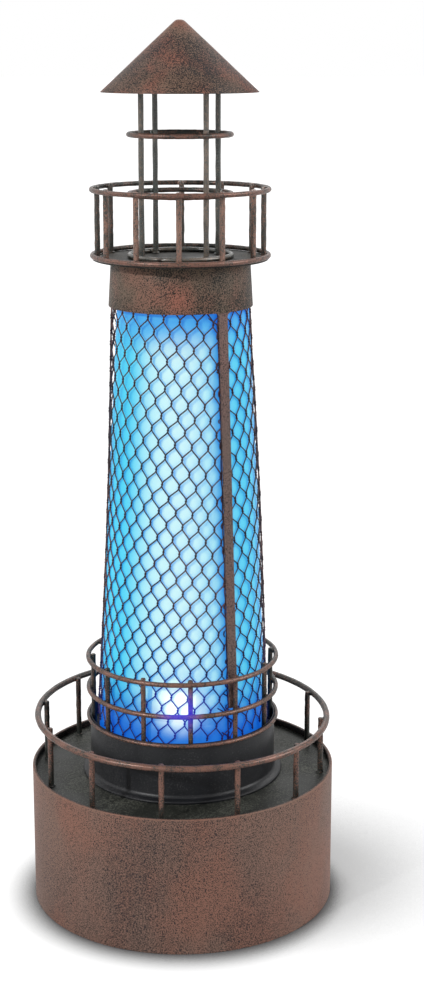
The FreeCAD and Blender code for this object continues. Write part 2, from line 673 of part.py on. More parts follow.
def make_battery_box():
    """Tray that opens downwards: a cell bay, a switch bay, a channel for the cover and two screw ears."""
    body = new_body("battery_box", y="box_shift", z=BOX_TOP)
    end = f"{HALF_LENGTH} - box_wall"
    side = f"{HALF_WIDTH} - box_wall"
    padded(body, box_outline(body, "battery_box_plan", "XY_Plane", f"-{HALF_LENGTH}", f"-{HALF_WIDTH}",
                             HALF_LENGTH, HALF_WIDTH), "box_height").Reversed = True
    padded(body, box_outline(body, "battery_box_ears", "XY_Plane", f"-{HALF_LENGTH} - ear_length",
                             "-ear_width / 2", f"{HALF_LENGTH} + ear_length", "ear_width / 2"),
           "ear_height").Reversed = True
    for name, low, high in (("battery_box_cell_bay", f"box_wall - {HALF_WIDTH}", BAY_EDGE),
                            ("battery_box_switch_bay", f"{BAY_EDGE} + box_wall", side)):
        bay = box_outline(body, name, "XY_Plane", f"box_wall - {HALF_LENGTH}", low, end, high)
        pocketed(body, raised(bay, "-box_wall"), BAY_DEPTH)
    channel = box_outline(body, "battery_box_channel", "XY_Plane", f"box_wall - {HALF_LENGTH}",
                          f"box_wall - {HALF_WIDTH}", f"{HALF_LENGTH} + box_wall", side)
    pocketed(body, raised(channel, CHANNEL_TOP), CHANNEL)
    mouth = box_outline(body, "battery_box_mouth", "XY_Plane", f"box_wall - {HALF_LENGTH}",
                        f"box_wall + rail_reach - {HALF_WIDTH}", f"{HALF_LENGTH} + box_wall",
                        f"{side} - rail_reach")
    pocketed(body, raised(mouth, "rail_lip - box_height"))
    pilots = circles(body, "battery_box_pilots", "XY_Plane",
                     [("box_screw_spread / 2", "0", PILOT), ("-box_screw_spread / 2", "0", PILOT)])
    pocketed(body, pilots, "screw_length")
    lead_hole = circles(body, "battery_box_lead_hole", "XY_Plane",
                        [("0", "lead_place - box_shift", "grommet_bore / 2")])
    pocketed(body, lead_hole, "box_wall")
    reach = "(knob_length / 2 + knob_gap)"
    rise = "(knob_height / 2 + knob_gap)"
    window = box_outline(body, "battery_box_window", "XZ_Plane", f"-{reach}", f"{SWITCH_MIDDLE} - {rise}",
                         f"knob_travel + {reach}", f"{SWITCH_MIDDLE} + {rise}")
    pocketed(body, raised(window, f"box_wall - {HALF_WIDTH}"))
    return body


def make_battery_cells():
    """Round cells side by side in their bay, close under the box's top."""
    body = new_body("battery_cells", y="box_shift", z=BOX_TOP)
    for cell in range(int(number("cell_count"))):
        rod = body.newObject("PartDesign::AdditivePrism", f"battery_cell_{cell + 1}")
        rod.Polygon = CELL_FLAT_COUNT
        bind(rod, "Circumradius", "cell_radius")
        bind(rod, "Height", "cell_length")
        rod.Placement = FreeCAD.Placement(FreeCAD.Vector(), FreeCAD.Rotation(FreeCAD.Vector(0, 1, 0), 90))
        bind(rod, "Placement.Base.x", "-cell_length / 2")
        bind(rod, "Placement.Base.y", f"box_wall + ({cell} + 0.5) * cell_pitch - {HALF_WIDTH}")
        bind(rod, "Placement.Base.z", "-box_wall - cell_radius - weld_gap")
        body.Tip = rod
    return body


def make_cell_contacts():
    """Bent strips between the bay's end walls and the cells, two to a cell."""
    body = new_body("cell_contacts", y="box_shift", z=BOX_TOP)
    wall = f"({HALF_LENGTH} - box_wall - weld_gap)"
    cell_end = "(cell_length / 2 + weld_gap)"
    half = "contact_width / 2"
    for cell in range(int(number("cell_count"))):
        middle = f"(box_wall + ({cell} + 0.5) * cell_pitch - {HALF_WIDTH})"
        for name, sign in (("right", ""), ("left", "-")):
            strip = outline(body, f"cell_contact_{cell + 1}_{name}", "XY_Plane", [
                (f"{sign}{wall}", f"{middle} - {half}"),
                (f"{sign}{wall}", f"{middle} + {half}"),
                (f"{sign}({wall} - contact_gauge)", f"{middle} + {half}"),
                (f"{sign}{cell_end}", f"{middle} + contact_gauge"),
                (f"{sign}{cell_end}", f"{middle} - contact_gauge"),
                (f"{sign}({wall} - contact_gauge)", f"{middle} + {half} - contact_gauge"),
                (f"{sign}({wall} - contact_gauge)", f"{middle} - {half}")])
            raised(strip, "-box_wall - cell_radius - contact_width / 2")
            padded(body, strip, "contact_width")
    return body


def make_switch_body():
    """Slide switch against the box's back wall, with a slot for the knob's stem."""
    body = new_body("switch_body", y="box_shift", z=BOX_TOP)
    face = f"{HALF_WIDTH} - box_wall - weld_gap"
    middle = "knob_travel / 2"
    block = box_outline(body, "switch_body_plan", "XY_Plane", f"{middle} - switch_length / 2",
                        f"{face} - switch_width", f"{middle} + switch_length / 2", face)
    padded(body, raised(block, f"{SWITCH_MIDDLE} - switch_height / 2"), "switch_height")
    reach = "(stem_side / 2 + knob_gap)"
    slot = box_outline(body, "switch_body_slot", "XZ_Plane", f"-{reach}", f"{SWITCH_MIDDLE} - {reach}",
                       f"knob_travel + {reach}", f"{SWITCH_MIDDLE} + {reach}")
    pocketed(body, raised(slot, f"-({face})"), "stem_depth + knob_gap", upwards=True)
    return body


def make_switch_knob():
    """Knob in the box's window, with a stem that reaches into the switch; it slides along X."""
    body = new_body("switch_knob", y="box_shift", z=BOX_TOP)
    foot = f"({HALF_WIDTH} - box_wall + knob_gap)"
    knob = box_outline(body, "switch_knob_face", "XZ_Plane",
                       "-knob_length / 2", f"{SWITCH_MIDDLE} - knob_height / 2",
                       "knob_length / 2", f"{SWITCH_MIDDLE} + knob_height / 2")
    padded(body, raised(knob, f"-{foot}"), "box_wall - knob_gap + knob_reach").Reversed = True
    stem = box_outline(body, "switch_knob_stem", "XZ_Plane",
                       "-stem_side / 2", f"{SWITCH_MIDDLE} - stem_side / 2",
                       "stem_side / 2", f"{SWITCH_MIDDLE} + stem_side / 2")
    padded(body, raised(stem, f"-{foot}"), "knob_gap + stem_depth")
    return body


def make_battery_cover():
    """Lid that lies on the box's two lips; ribs near its open end give a thumb grip."""
    body = new_body("battery_cover", y="box_shift", z=BOX_TOP)
    side = f"({HALF_WIDTH} - box_wall - cover_gap)"
    under = "(rail_lip + cover_gap - box_height)"
    plate = box_outline(body, "battery_cover_plan", "XY_Plane", f"box_wall + cover_gap - {HALF_LENGTH}",
                        f"-{side}", HALF_LENGTH, side)
    padded(body, raised(plate, under), "cover_gauge")
    for rib in range(int(number("grip_count"))):
        outer_side = f"({HALF_LENGTH} - grip_inset - 2 * grip_rib * {rib})"
        ridge = box_outline(body, f"battery_cover_rib_{rib + 1}", "XY_Plane", f"{outer_side} - grip_rib",
                            "-grip_width / 2", outer_side, "grip_width / 2")
        padded(body, raised(ridge, under), "rail_lip").Reversed = True
    return body


def make_inner_works():
    return [
        make_lamp_holder(),
        make_led_board(),
        make_led_lamps(),
        make_screws("lamp_screws", f"{PLINTH_DECK_TOP} - plinth_deck_gauge", "lamp_screw_spread", "0", True),
        make_grommet("deck_grommet", DECK_TOP, "deck_gauge"),
        make_grommet("plinth_grommet", PLINTH_DECK_TOP, "plinth_deck_gauge"),
        make_lead_wires(),
        make_battery_box(),
        make_battery_cells(),
        make_cell_contacts(),
        make_switch_body(),
        make_switch_knob(),
        make_screws("box_screws", DECK_TOP, "box_screw_spread", "box_shift", False),
        make_battery_cover(),
    ]


# Building and writing ---------------------------------------------------------------------------


def check(pieces):
    """Stop if any object failed, or any sub-part has no sound shape."""
    for thing in doc.Objects:
        if "Invalid" in thing.State or "Error" in thing.State:
            raise RuntimeError(f"{thing.Label} failed: {thing.State}")
    for piece in pieces:
        if piece.Shape.isNull() or not piece.Shape.isValid() or not piece.Shape.Solids:
            raise RuntimeError(f"{piece.Label} has no sound shape")


def write(pieces):
    os.makedirs("parts", exist_ok=True)
    for piece in pieces:
        piece.Shape.exportStep(f"parts/{piece.Label}.step")
        solids = piece.Shape.Solids
        print(f"{piece.Label}: {len(solids)} solids, {sum(solid.Volume for solid in solids):.1f} mm3")


pieces = [
    make_base_drum(),
    make_base_deck(),
    make_plinth_drum(),
    make_plinth_deck(),
    make_collar(),
    make_gallery_deck(),
    make_roof_cone(),
    *make_rails(),
    make_tower_legs(),
    make_tower_netting(),
    make_light_sleeve(),
    *make_inner_works(),
]
doc.recompute()
check(pieces)
write(pieces)
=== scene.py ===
import bmesh
import bpy
import math
import random
from mathutils import Matrix, Vector, noise


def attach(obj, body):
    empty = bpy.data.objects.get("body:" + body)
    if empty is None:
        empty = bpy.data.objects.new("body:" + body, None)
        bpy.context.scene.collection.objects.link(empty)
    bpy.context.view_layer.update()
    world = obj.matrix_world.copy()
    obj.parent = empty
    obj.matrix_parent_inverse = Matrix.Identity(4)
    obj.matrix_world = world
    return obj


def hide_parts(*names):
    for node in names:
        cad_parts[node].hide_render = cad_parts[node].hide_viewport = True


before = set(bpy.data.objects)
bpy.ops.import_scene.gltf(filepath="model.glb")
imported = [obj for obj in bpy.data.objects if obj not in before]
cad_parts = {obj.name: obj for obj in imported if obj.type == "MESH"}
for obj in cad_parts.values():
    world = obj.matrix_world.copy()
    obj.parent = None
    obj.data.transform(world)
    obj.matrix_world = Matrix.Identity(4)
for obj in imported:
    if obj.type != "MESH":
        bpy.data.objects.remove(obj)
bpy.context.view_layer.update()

# The netting sways the same way each time it is made.
noise.seed_set(5)

# The lighthouse stands at the origin with its front towards -Y. Lengths below are in millimetres, as a
# maker's drawing gives them, and heights count from the ground. Turns are in degrees from the front
# towards +X. Inside a finish, places and distances are in metres, as its nodes read them.
MM = 0.001

# Heights of the sheet metal.
DECK_TOP = 110.0
BASE_RIM = 116.0
PLINTH_DECK_TOP = 150.0
PLINTH_TOP = 160.0
COLLAR_FOOT = 504.0
GALLERY_TOP = 542.0
ROOF_RIM = 670.3
TIP = 725.0

# Radii of the sheet metal.
BASE_RADIUS = 127.0
BASE_DECK_RADIUS = 125.75
PLINTH_RADIUS = 77.5
PLINTH_DECK_RADIUS = 76.6
FLANGE_RADIUS = 84.0
COLLAR_FOOT_RADIUS = 57.8
COLLAR_TOP_RADIUS = 55.6
GALLERY_DECK_RADIUS = 69.9
ROOF_RADIUS = 62.0
ROOF_TIP_RADIUS = 3.2

# Gauges of the sheets, and of the film.
DECK_SHEET = 1.2
PLINTH_SHEET = 0.8
COLLAR_SHEET = 1.0
FILM_WALL = 0.8

# Wires of the rails: how thick each is.
OUTER_POST_WIRE = 4.5
OUTER_RING_WIRE = 5.2
RAIL_WIRE = 4.0
UPPER_POST_WIRE = 4.4
BEAD_WIRE = 3.2

# Rings: the radius and the heights of their wires' middles.
OUTER_RING_RADIUS = 121.7
OUTER_RING = 158.1
INNER_RING_RADIUS = 78.6
INNER_LOW_RING = 183.1
INNER_TOP_RING = 210.1
GALLERY_RING_RADIUS = 70.0
LANTERN_RING_RADIUS = 40.3
UPPER_FOOT_RING = 544.0
GALLERY_RAIL_RING = 595.7
LANTERN_MIDDLE_RING = 592.1
LANTERN_TOP_RING = 638.1

# Posts: the radius that each set stands at, its top, and the turn of its first post.
OUTER_POST_RADIUS, OUTER_POST_TOP, OUTER_POST_TURN = 117.15, 159.8, -7.3
INNER_POST_RADIUS, INNER_POST_TOP, INNER_POST_TURN = 74.55, 212.7, 6.0
GALLERY_POST_RADIUS, GALLERY_POST_TOP, GALLERY_POST_TURN = 65.95, 598.0, 0.0
LANTERN_POST_RADIUS, LANTERN_POST_TOP, LANTERN_POST_TURN = 36.25, 691.2, 34.5

# Flat bars of the tower. TAPER is how much narrower the tower gets on each millimetre of its way up.
TAPER = 0.04594
BAR_FOOT = 184.0
BAR_GAUGE = 1.6
BAR_WIDTH = 8.0
BAR_TURN = 36.0
BAR_GAP = 0.05
BAR_FLARE = 3.6
BAR_LAP = 0.8


def bar_face(height):
    """Radius of the tower's cone at a height, where the outer face of the flat bars lies."""
    return COLLAR_FOOT_RADIUS + (COLLAR_FOOT - height) * TAPER


def spot(radius, height, turn=0.0):
    """A point at that radius, height and turn, in metres."""
    angle = math.radians(turn)
    return Vector((radius * math.sin(angle), -radius * math.cos(angle), height)) * MM


def turn_of(point):
    """The turn of a point about the tower's axis."""
    return math.degrees(math.atan2(point.x, -point.y))


# Camera -------------------------------------------------------------------------------------------

CAMERA_LENS = 65.9
CAMERA_PLACE = (0.025, -1.4445, 0.7057)
CAMERA_DIP = 13.94


def set_camera():
    """A long lens a little above the gallery, looking down at the base."""
    lens = bpy.data.cameras.new("camera")
    lens.lens = CAMERA_LENS
    camera = bpy.data.objects.new("camera", lens)
    camera.location = CAMERA_PLACE
    camera.rotation_euler = (math.radians(90 - CAMERA_DIP), 0, 0)
    bpy.context.collection.objects.link(camera)
    bpy.context.scene.camera = camera


set_camera()


# Finishes -----------------------------------------------------------------------------------------


class Finish:
    """A procedural material, built up node by node on the piece's own Object coordinates."""

    def __init__(self, name, roughness=0.5, metallic=0.0, shine=0.5):
        self.material = bpy.data.materials.new(name)
        self.material.use_nodes = True
        self.tree = self.material.node_tree
        self.shader = self.tree.nodes["Principled BSDF"]
        self.feed("Roughness", roughness)
        self.feed("Metallic", metallic)
        self.feed("Specular IOR Level", shine)
        self.place = self.add("ShaderNodeTexCoord").outputs["Object"]

    def plug(self, socket, source):
        """Link a socket to another, or give it a plain number, direction or colour."""
        if isinstance(source, bpy.types.NodeSocket):
            self.tree.links.new(source, socket)
        elif socket.type == "RGBA":
            socket.default_value = (*source, 1)
        else:
            socket.default_value = source

    def feed(self, name, source):
        """Plug a source into one of the shader's own sockets."""
        self.plug(self.shader.inputs[name], source)

    def add(self, kind, sockets=None, **settings):
        """A node with its settings, and with what each of its sockets is given."""
        made = self.tree.nodes.new(kind)
        for name, value in settings.items():
            setattr(made, name, value)
        for socket, source in (sockets or {}).items():
            self.plug(made.inputs[socket], source)
        return made

    def maths(self, operation, first, second=0.0):
        return self.add("ShaderNodeMath", {0: first, 1: second}, operation=operation).outputs[0]

    def sum(self, first, second):
        return self.maths("ADD", first, second)

    def times(self, first, second):
        return self.maths("MULTIPLY", first, second)

    def vector(self, operation, first, second=(0.0, 0.0, 0.0)):
        return self.add("ShaderNodeVectorMath", {0: first, 1: second}, operation=operation)

    def axis(self, name):
        return self.add("ShaderNodeSeparateXYZ", {"Vector": self.place}).outputs[name]

    def level_place(self):
        """The place with its height left out."""
        return self.vector("MULTIPLY", self.place, (1, 1, 0)).outputs[0]

    def direction(self, x, y, z):
        return self.add("ShaderNodeCombineXYZ", {"X": x, "Y": y, "Z": z}).outputs[0]

    def grain(self, scale, detail=2.0, roughness=0.55, stretch=None):
        """Noise of that many lumps to the metre, or of as many along each axis as stretch says."""
        source = self.place
        if stretch:
            source = self.add("ShaderNodeMapping", {"Vector": source, "Scale": stretch}).outputs["Vector"]
        noise_sockets = {"Vector": source, "Scale": scale, "Detail": detail, "Roughness": roughness}
        return self.add("ShaderNodeTexNoise", noise_sockets).outputs[0]

    def fine_grain(self, scale):
        """The sharp grain of powder coat."""
        return self.grain(scale, 2.0, 0.7)

    def fade(self, source, low, high, at_low=0.0, at_high=1.0):
        """Pass softly from one number to another while the source goes from low to high."""
        limits = {"Value": source, "From Min": low, "From Max": high, "To Min": at_low, "To Max": at_high}
        return self.add("ShaderNodeMapRange", limits, interpolation_type="SMOOTHSTEP").outputs[0]

    def blend(self, amount, first, second, mode="MIX"):
        """Mix two colours, each a plain colour or a socket."""
        mixed = self.add("ShaderNodeMix", {0: amount, 6: first, 7: second}, data_type="RGBA", blend_type=mode)
        return mixed.outputs[2]

    def near(self, point, inner, outer):
        """1 within the inner distance of a point, 0 past the outer one."""
        return self.fade(self.vector("DISTANCE", self.place, point).outputs["Value"], inner, outer, 1.0, 0.0)

    def openness(self, facing, distance, samples):
        """How open it is on the side that faces that way, out to a distance."""
        return self.add("ShaderNodeAmbientOcclusion", {"Normal": facing, "Distance": distance},
                        samples=samples).outputs["AO"]

    def colour(self, source):
        self.feed("Base Color", source)

    def rough(self, source):
        self.feed("Roughness", source)

    def glow(self, colour, strength):
        self.feed("Emission Color", colour)
        self.feed("Emission Strength", strength)

    def bump(self, height, strength, depth):
        made = self.add("ShaderNodeBump", {"Height": height, "Strength": strength, "Distance": depth})
        self.feed("Normal", made.outputs["Normal"])


# Where the painted hot spot of the lamps' light shows through the sleeve; round it the coats take painted
# glow.
HOT_SPOT = (-0.001, -0.0695, 0.187)

# The noise of a grain keeps mostly to this range.
GRAIN_LOW, GRAIN_HIGH = 0.3, 0.7

# How much less black the copper coat has on a worn edge, partly wear and partly a painted highlight, on a
# side, partly the coat and partly painted light, and in a red place, and how much more on a hem's hidden side.
EDGE_WEAR_AND_HIGHLIGHT = 0.08
SIDE_WEAR_AND_LIGHT = 0.028
RED_WEAR = 0.05
HEM_DARKENING = -0.16

# How far the level between copper and black moves as the share of copper goes from none to all.
SHARE_REACH = 0.22


def copper_coat(name, copper, brown, under, cover, clouds=(11, 11, 7), red_at=None, worn_and_highlit_edge=None,
                clean_and_lit_sides=None, painted_glow=0.0, grain=1050, spread=0.065, darker_within=None, mottled=0.16):
    """Powder coat in fine grains, red copper in places and brown in others, over a black undercoat.

    cover is the share that isn't black, and clouds gives the wide patches to the metre along each axis.
    It is redder round the point red_at. It has less black on a worn edge, from one height up to another,
    which is partly wear and partly a painted highlight, and towards its two sides, from one distance to
    another, which is partly the coat and partly painted light. Within a radius, such as that of a hem's hidden
    side, it is blacker. spread is how softly a grain ends. mottled is the share of the black that lies in wide
    patches.
    One more argument sets how much painted blue glow it takes near the hot spot and low down; near the hot
    spot it is also painted a backlit dark.
    """
    coat = Finish(name, metallic=0.15, shine=0.2)
    fine = coat.fine_grain(grain)
    patches = coat.grain(1, 3.0, 0.5, stretch=clouds)
    worn = coat.sum(coat.times(fine, 1 - mottled), coat.times(patches, mottled))
    # A paler worn edge: partly wear, partly a painted highlight along the rim.
    if worn_and_highlit_edge:
        worn = coat.sum(worn, coat.fade(coat.axis("Z"), *worn_and_highlit_edge, 0.0, EDGE_WEAR_AND_HIGHLIGHT))
    # Paler towards the two sides as seen from the front: partly a cleaner coat, partly painted light on the
    # flanks.
    if clean_and_lit_sides:
        sideways = coat.maths("ABSOLUTE", coat.axis("X"))
        worn = coat.sum(worn, coat.fade(sideways, *clean_and_lit_sides, 0.0, SIDE_WEAR_AND_LIGHT))
    # Blacker within a radius, on the hem's hidden inner side.
    if darker_within:
        radius = coat.vector("LENGTH", coat.level_place()).outputs["Value"]
        worn = coat.sum(worn, coat.fade(radius, *darker_within, HEM_DARKENING, 0.0))
    if red_at:
        middle, reach = red_at
        red_place = coat.near(middle, 0.0, reach)
        worn = coat.sum(worn, coat.times(red_place, RED_WEAR))
    edge = 0.5 + (0.5 - cover) * SHARE_REACH
    amount = coat.fade(worn, edge - spread, edge + spread)
    smaller_clouds = tuple(part * 1.7 for part in clouds)
    reddish = coat.fade(coat.grain(1, 2.0, 0.5, stretch=smaller_clouds), 0.38, 0.66)
    if red_at:
        reddish = coat.sum(coat.times(reddish, 0.35), coat.times(red_place, 0.65))
    shown = coat.blend(amount, under, coat.blend(reddish, brown, copper))
    # Painted light: near the hot spot the coat is painted a backlit dark and given a painted blue glow, and
    # low down a faint painted blue glow.
    if painted_glow:
        painted_backlit_dark = (0.008, 0.008, 0.030)
        shown = coat.blend(coat.near(HOT_SPOT, 0.02, 0.10), shown, painted_backlit_dark)
        painted_lamp_glow = coat.times(coat.near(HOT_SPOT, 0.004, 0.040), painted_glow)
        painted_low_glow = coat.fade(coat.axis("Z"), 0.165, 0.260, 0.09, 0.0)
        coat.glow((0.012, 0.03, 0.6), coat.sum(painted_lamp_glow, painted_low_glow))
    coat.colour(shown)
    coat.rough(coat.fade(fine, GRAIN_LOW, GRAIN_HIGH, 0.62, 0.44))
    coat.bump(fine, 0.3, 0.0004)
    return coat.material


def dark_coat(name, dark, light, gloss=0.5, share=0.5, shine=0.2):
    """The undercoat where little copper reached it: charcoal, with a fine pale grain on that share."""
    coat = Finish(name, shine=shine)
    fine = coat.fine_grain(850)
    clouds = coat.grain(24)
    worn = coat.sum(fine, coat.times(clouds, 0.4))
    amount = coat.fade(worn, 0.83 - share * 0.2, 0.95 - share * 0.2)
    coat.colour(coat.blend(amount, dark, light))
    coat.rough(coat.fade(clouds, GRAIN_LOW, GRAIN_HIGH, gloss, gloss + 0.15))
    coat.bump(fine, 0.3, 0.0003)
    return coat.material


def rail_coat(name, copper=(0.165, 0.080, 0.058), dark=(0.020, 0.023, 0.020), reach=(-0.06, 0.03), bare=0.0,
              gloss=0.34, shine=0.35, foot=None, painted_glow=0.0):
    """Wire coat: copper to the front, darker green-grey to the back and sides, which is painted shade, with a
    little copper there.

    reach is where the copper fades into that painted shade, from front to back, and bare takes copper off all
    over. A post is darker for a little way up from its foot. The last argument sets how much painted blue glow
    it takes near the hot spot, where its copper is also painted a backlit violet dark.
    """
    coat = Finish(name, metallic=0.3, shine=shine)
    fine = coat.fine_grain(900)
    brushed = coat.grain(90, 2.0, 0.6, stretch=(1, 1, 0.5))
    # Painted shade: the coat darkens from the front towards the back and sides.
    shade = coat.fade(coat.axis("Y"), *reach, 0.05 - bare, -0.04 - bare)
    # Darker for a little way up from a post's foot.
    if foot:
        shade = coat.sum(shade, coat.fade(coat.axis("Z"), foot, foot + 0.03, -0.09, 0.0))
    worn = coat.sum(coat.times(fine, 0.7), coat.sum(coat.times(brushed, 0.3), shade))
    amount = coat.fade(worn, 0.44, 0.60)
    brown = copper
    # Painted light: near the hot spot the copper is painted a backlit violet dark and given a painted blue
    # glow.
    if painted_glow:
        painted_backlit_violet = (0.03, 0.02, 0.05)
        brown = coat.blend(coat.near(HOT_SPOT, 0.006, 0.018), copper, painted_backlit_violet)
        coat.glow((0.02, 0.02, 0.75), coat.times(coat.near(HOT_SPOT, 0.004, 0.024), painted_glow))
    coat.colour(coat.blend(amount, dark, brown))
    coat.rough(coat.fade(fine, GRAIN_LOW, GRAIN_HIGH, gloss + 0.14, gloss - 0.06))
    coat.bump(fine, 0.4, 0.0004)
    return coat.material


# The film's painted light: its pale bands, one to a lamp, and how far they are turned, in radians; the heights
# between which it passes from the foot's painted deep blue to the bands, and from them to the collar's painted
# shade.
LAMP_COUNT = 3
LAMP_TURN = 0.05
FOOT_LIGHT = (0.174, 0.224)
COLLAR_SHADE = (0.476, 0.514)


def wire_shade(sleeve):
    """1 on the film in the shade of a wire in front of it, which lies to the wire's lower right."""
    outwards = sleeve.vector("NORMALIZE", sleeve.level_place()).outputs[0]
    upper_left = sleeve.vector("ADD", outwards, (-0.8, 0.0, 0.6)).outputs[0]
    return sleeve.fade(sleeve.openness(upper_left, 0.0045, 8), 0.58, 0.80, 1.0, 0.0)


def film(name):
    """Milky blue film with painted glow for the lamps inside it: painted pale bands up it, hottest at their
    feet, and painted shade under the collar, on its flanks, beside the bar and beside each wire.
    """
    sleeve = Finish(name, roughness=0.45, shine=0.2)
    across, depth, height = (sleeve.axis(letter) for letter in "XYZ")
    turn = sleeve.maths("ARCTAN2", across, sleeve.times(depth, -1.0))
    # Painted light: pale bands of the lamps' light up the film, one to a lamp, paler towards +X.
    lobes = sleeve.maths("COSINE", sleeve.times(sleeve.sum(turn, LAMP_TURN), LAMP_COUNT))
    band = sleeve.fade(sleeve.sum(lobes, sleeve.times(across, 5.0)), -1.1, 1.35)
    rise = sleeve.sum(height, sleeve.times(sleeve.grain(14, 1.0), 0.02))
    # Painted deep blue at the film's foot, below the bands.
    over_foot = sleeve.fade(sleeve.sum(rise, sleeve.times(band, 0.010)), *FOOT_LIGHT)
    # Painted shade under the collar.
    painted_collar_shade = sleeve.fade(rise, *COLLAR_SHADE)
    # Painted shade: the glow is deeper blue beside the front bar and on the film's flanks.
    bar_turn = math.radians(BAR_TURN)
    painted_bar_shade = sleeve.times(sleeve.fade(turn, bar_turn - 0.24, bar_turn - 0.10),
                              sleeve.fade(turn, bar_turn + 0.02, bar_turn + 0.14, 1.0, 0.0))
    front_or_back = sleeve.maths("COSINE", sleeve.times(turn, 2.0))
    painted_flank_shade = sleeve.sum(sleeve.fade(front_or_back, -1.0, -0.72, 0.55, 0.0), sleeve.times(painted_bar_shade, 0.5))

    glow = sleeve.blend(band, (0.014, 0.35, 0.65), (0.04, 0.36, 0.88))
    glow = sleeve.blend(painted_flank_shade, glow, (0.010, 0.17, 0.60))
    glow = sleeve.blend(painted_collar_shade, glow, (0.008, 0.12, 0.58))
    foot_glow = sleeve.blend(band, (0.003, 0.10, 0.50), (0.015, 0.15, 0.60))
    glow = sleeve.blend(over_foot, foot_glow, glow)
    # A painted hot spot of the lamps' light, white at its middle.
    glow = sleeve.blend(sleeve.near(HOT_SPOT, 0.004, 0.029), glow, (0.80, 0.93, 1.0))
    glow = sleeve.blend(sleeve.near(HOT_SPOT, 0.0, 0.016), glow, (1.0, 1.0, 1.0))
    # Painted shade beside each wire, to its lower right, darkens both the glow and the base colour.
    painted_wire_shade = wire_shade(sleeve)
    sleeve.glow(sleeve.blend(painted_wire_shade, glow, (0.35, 0.66, 0.93), "MULTIPLY"), 1.0)

    # Painted light: the base colour is paler where the painted bands fall and darker in the painted shade of
    # the collar and the flanks.
    clear_of_collar = sleeve.fade(painted_collar_shade, 0.0, 1.0, 1.0, 0.0)
    clear_of_flank = sleeve.fade(painted_flank_shade, 0.0, 1.0, 1.0, 0.15)
    paler_in_painted_light = sleeve.times(sleeve.times(sleeve.times(band, over_foot), clear_of_collar), clear_of_flank)
    blue_milk = sleeve.blend(over_foot, (0.008, 0.05, 0.14), (0.055, 0.25, 0.22))
    milk = sleeve.blend(paler_in_painted_light, blue_milk, (0.54, 0.52, 0.08))
    sleeve.colour(sleeve.blend(painted_wire_shade, milk, (0.45, 0.62, 0.9), "MULTIPLY"))
    sleeve.bump(sleeve.grain(260), 0.08, 0.0002)
    return sleeve.material


def moulded(name, colour, roughness=0.5, metallic=0.0):
    """Moulded plastic, rubber or plated steel with a fine grain and slightly paler wear."""
    made = Finish(name, roughness=roughness, metallic=metallic)
    fine = made.grain(1400)
    patches = made.grain(90, 3.0)
    paler = tuple(min(1.0, part * 1.12 + 0.0036) for part in colour)
    made.colour(made.blend(made.fade(patches, 0.35, GRAIN_HIGH), colour, paler))
    made.rough(made.fade(patches, GRAIN_LOW, GRAIN_HIGH, roughness - 0.06, roughness + 0.08))
    made.bump(fine, 0.12, 0.0001)
    return made.material


def cell_jacket(name):
    """Plain two-tone jacket of a round cell: dark body, copper end."""
    made = Finish(name, metallic=0.7)
    copper_end = made.fade(made.axis("X"), 0.0115, 0.0122)
    scratched = made.grain(300, 3.0, stretch=(1, 9, 9))
    made.colour(made.blend(copper_end, (0.05, 0.052, 0.058), (0.55, 0.27, 0.12)))
    made.rough(made.fade(scratched, 0.35, GRAIN_HIGH, 0.25, 0.45))
    return made.material


BLACK = (0.018, 0.017, 0.018)
# The base's rim is paler, partly a painted highlight, and its two flanks paler, partly painted light.
BASE_COAT = copper_coat("base_coat", (0.190, 0.093, 0.066), (0.166, 0.098, 0.074), BLACK, 0.60,
                        clouds=(14, 14, 8), worn_and_highlit_edge=(0.1144, 0.1158), clean_and_lit_sides=(0.055, 0.12),
                        grain=1200, spread=0.035, darker_within=(0.1256, 0.1266))
COLLAR_COAT = copper_coat("collar_coat", (0.250, 0.098, 0.068), (0.118, 0.083, 0.060),
                          (0.010, 0.012, 0.010), 0.45, clouds=(30, 30, 18),
                          red_at=((-0.004, -0.056, 0.515), 0.026), grain=1100, spread=0.022, mottled=0.26)
# The roof's tip is paler, partly wear and partly a painted highlight.
ROOF_COAT = copper_coat("roof_coat", (0.195, 0.078, 0.052), (0.150, 0.090, 0.063),
                        (0.010, 0.010, 0.010), 0.49, clouds=(24, 24, 16), worn_and_highlit_edge=(0.708, 0.722),
                        grain=1100, spread=0.024, mottled=0.28)
BAR_COAT = copper_coat("bar_coat", (0.150, 0.088, 0.076), (0.130, 0.092, 0.080), BLACK, 0.70, spread=0.05)
# The netting takes painted blue glow and painted backlit dark near the hot spot.
NETTING_COAT = copper_coat("netting_coat", (0.130, 0.060, 0.050), (0.055, 0.038, 0.048),
                           (0.012, 0.008, 0.014), 0.5, painted_glow=0.6)
DECK_COAT = dark_coat("deck_coat", (0.009, 0.010, 0.008), (0.068, 0.070, 0.058), gloss=0.46, share=0.6,
                      shine=0.22)
GALLERY_COAT = dark_coat("gallery_coat", (0.006, 0.006, 0.005), (0.070, 0.060, 0.046), share=0.45)
PLINTH_COAT = dark_coat("plinth_coat", (0.004, 0.0045, 0.006), (0.022, 0.022, 0.023), gloss=0.36, shine=0.28)
OUTER_RING_COAT = rail_coat("outer_ring_coat", gloss=0.30)
OUTER_POST_COAT = rail_coat("outer_post_coat", foot=0.112)
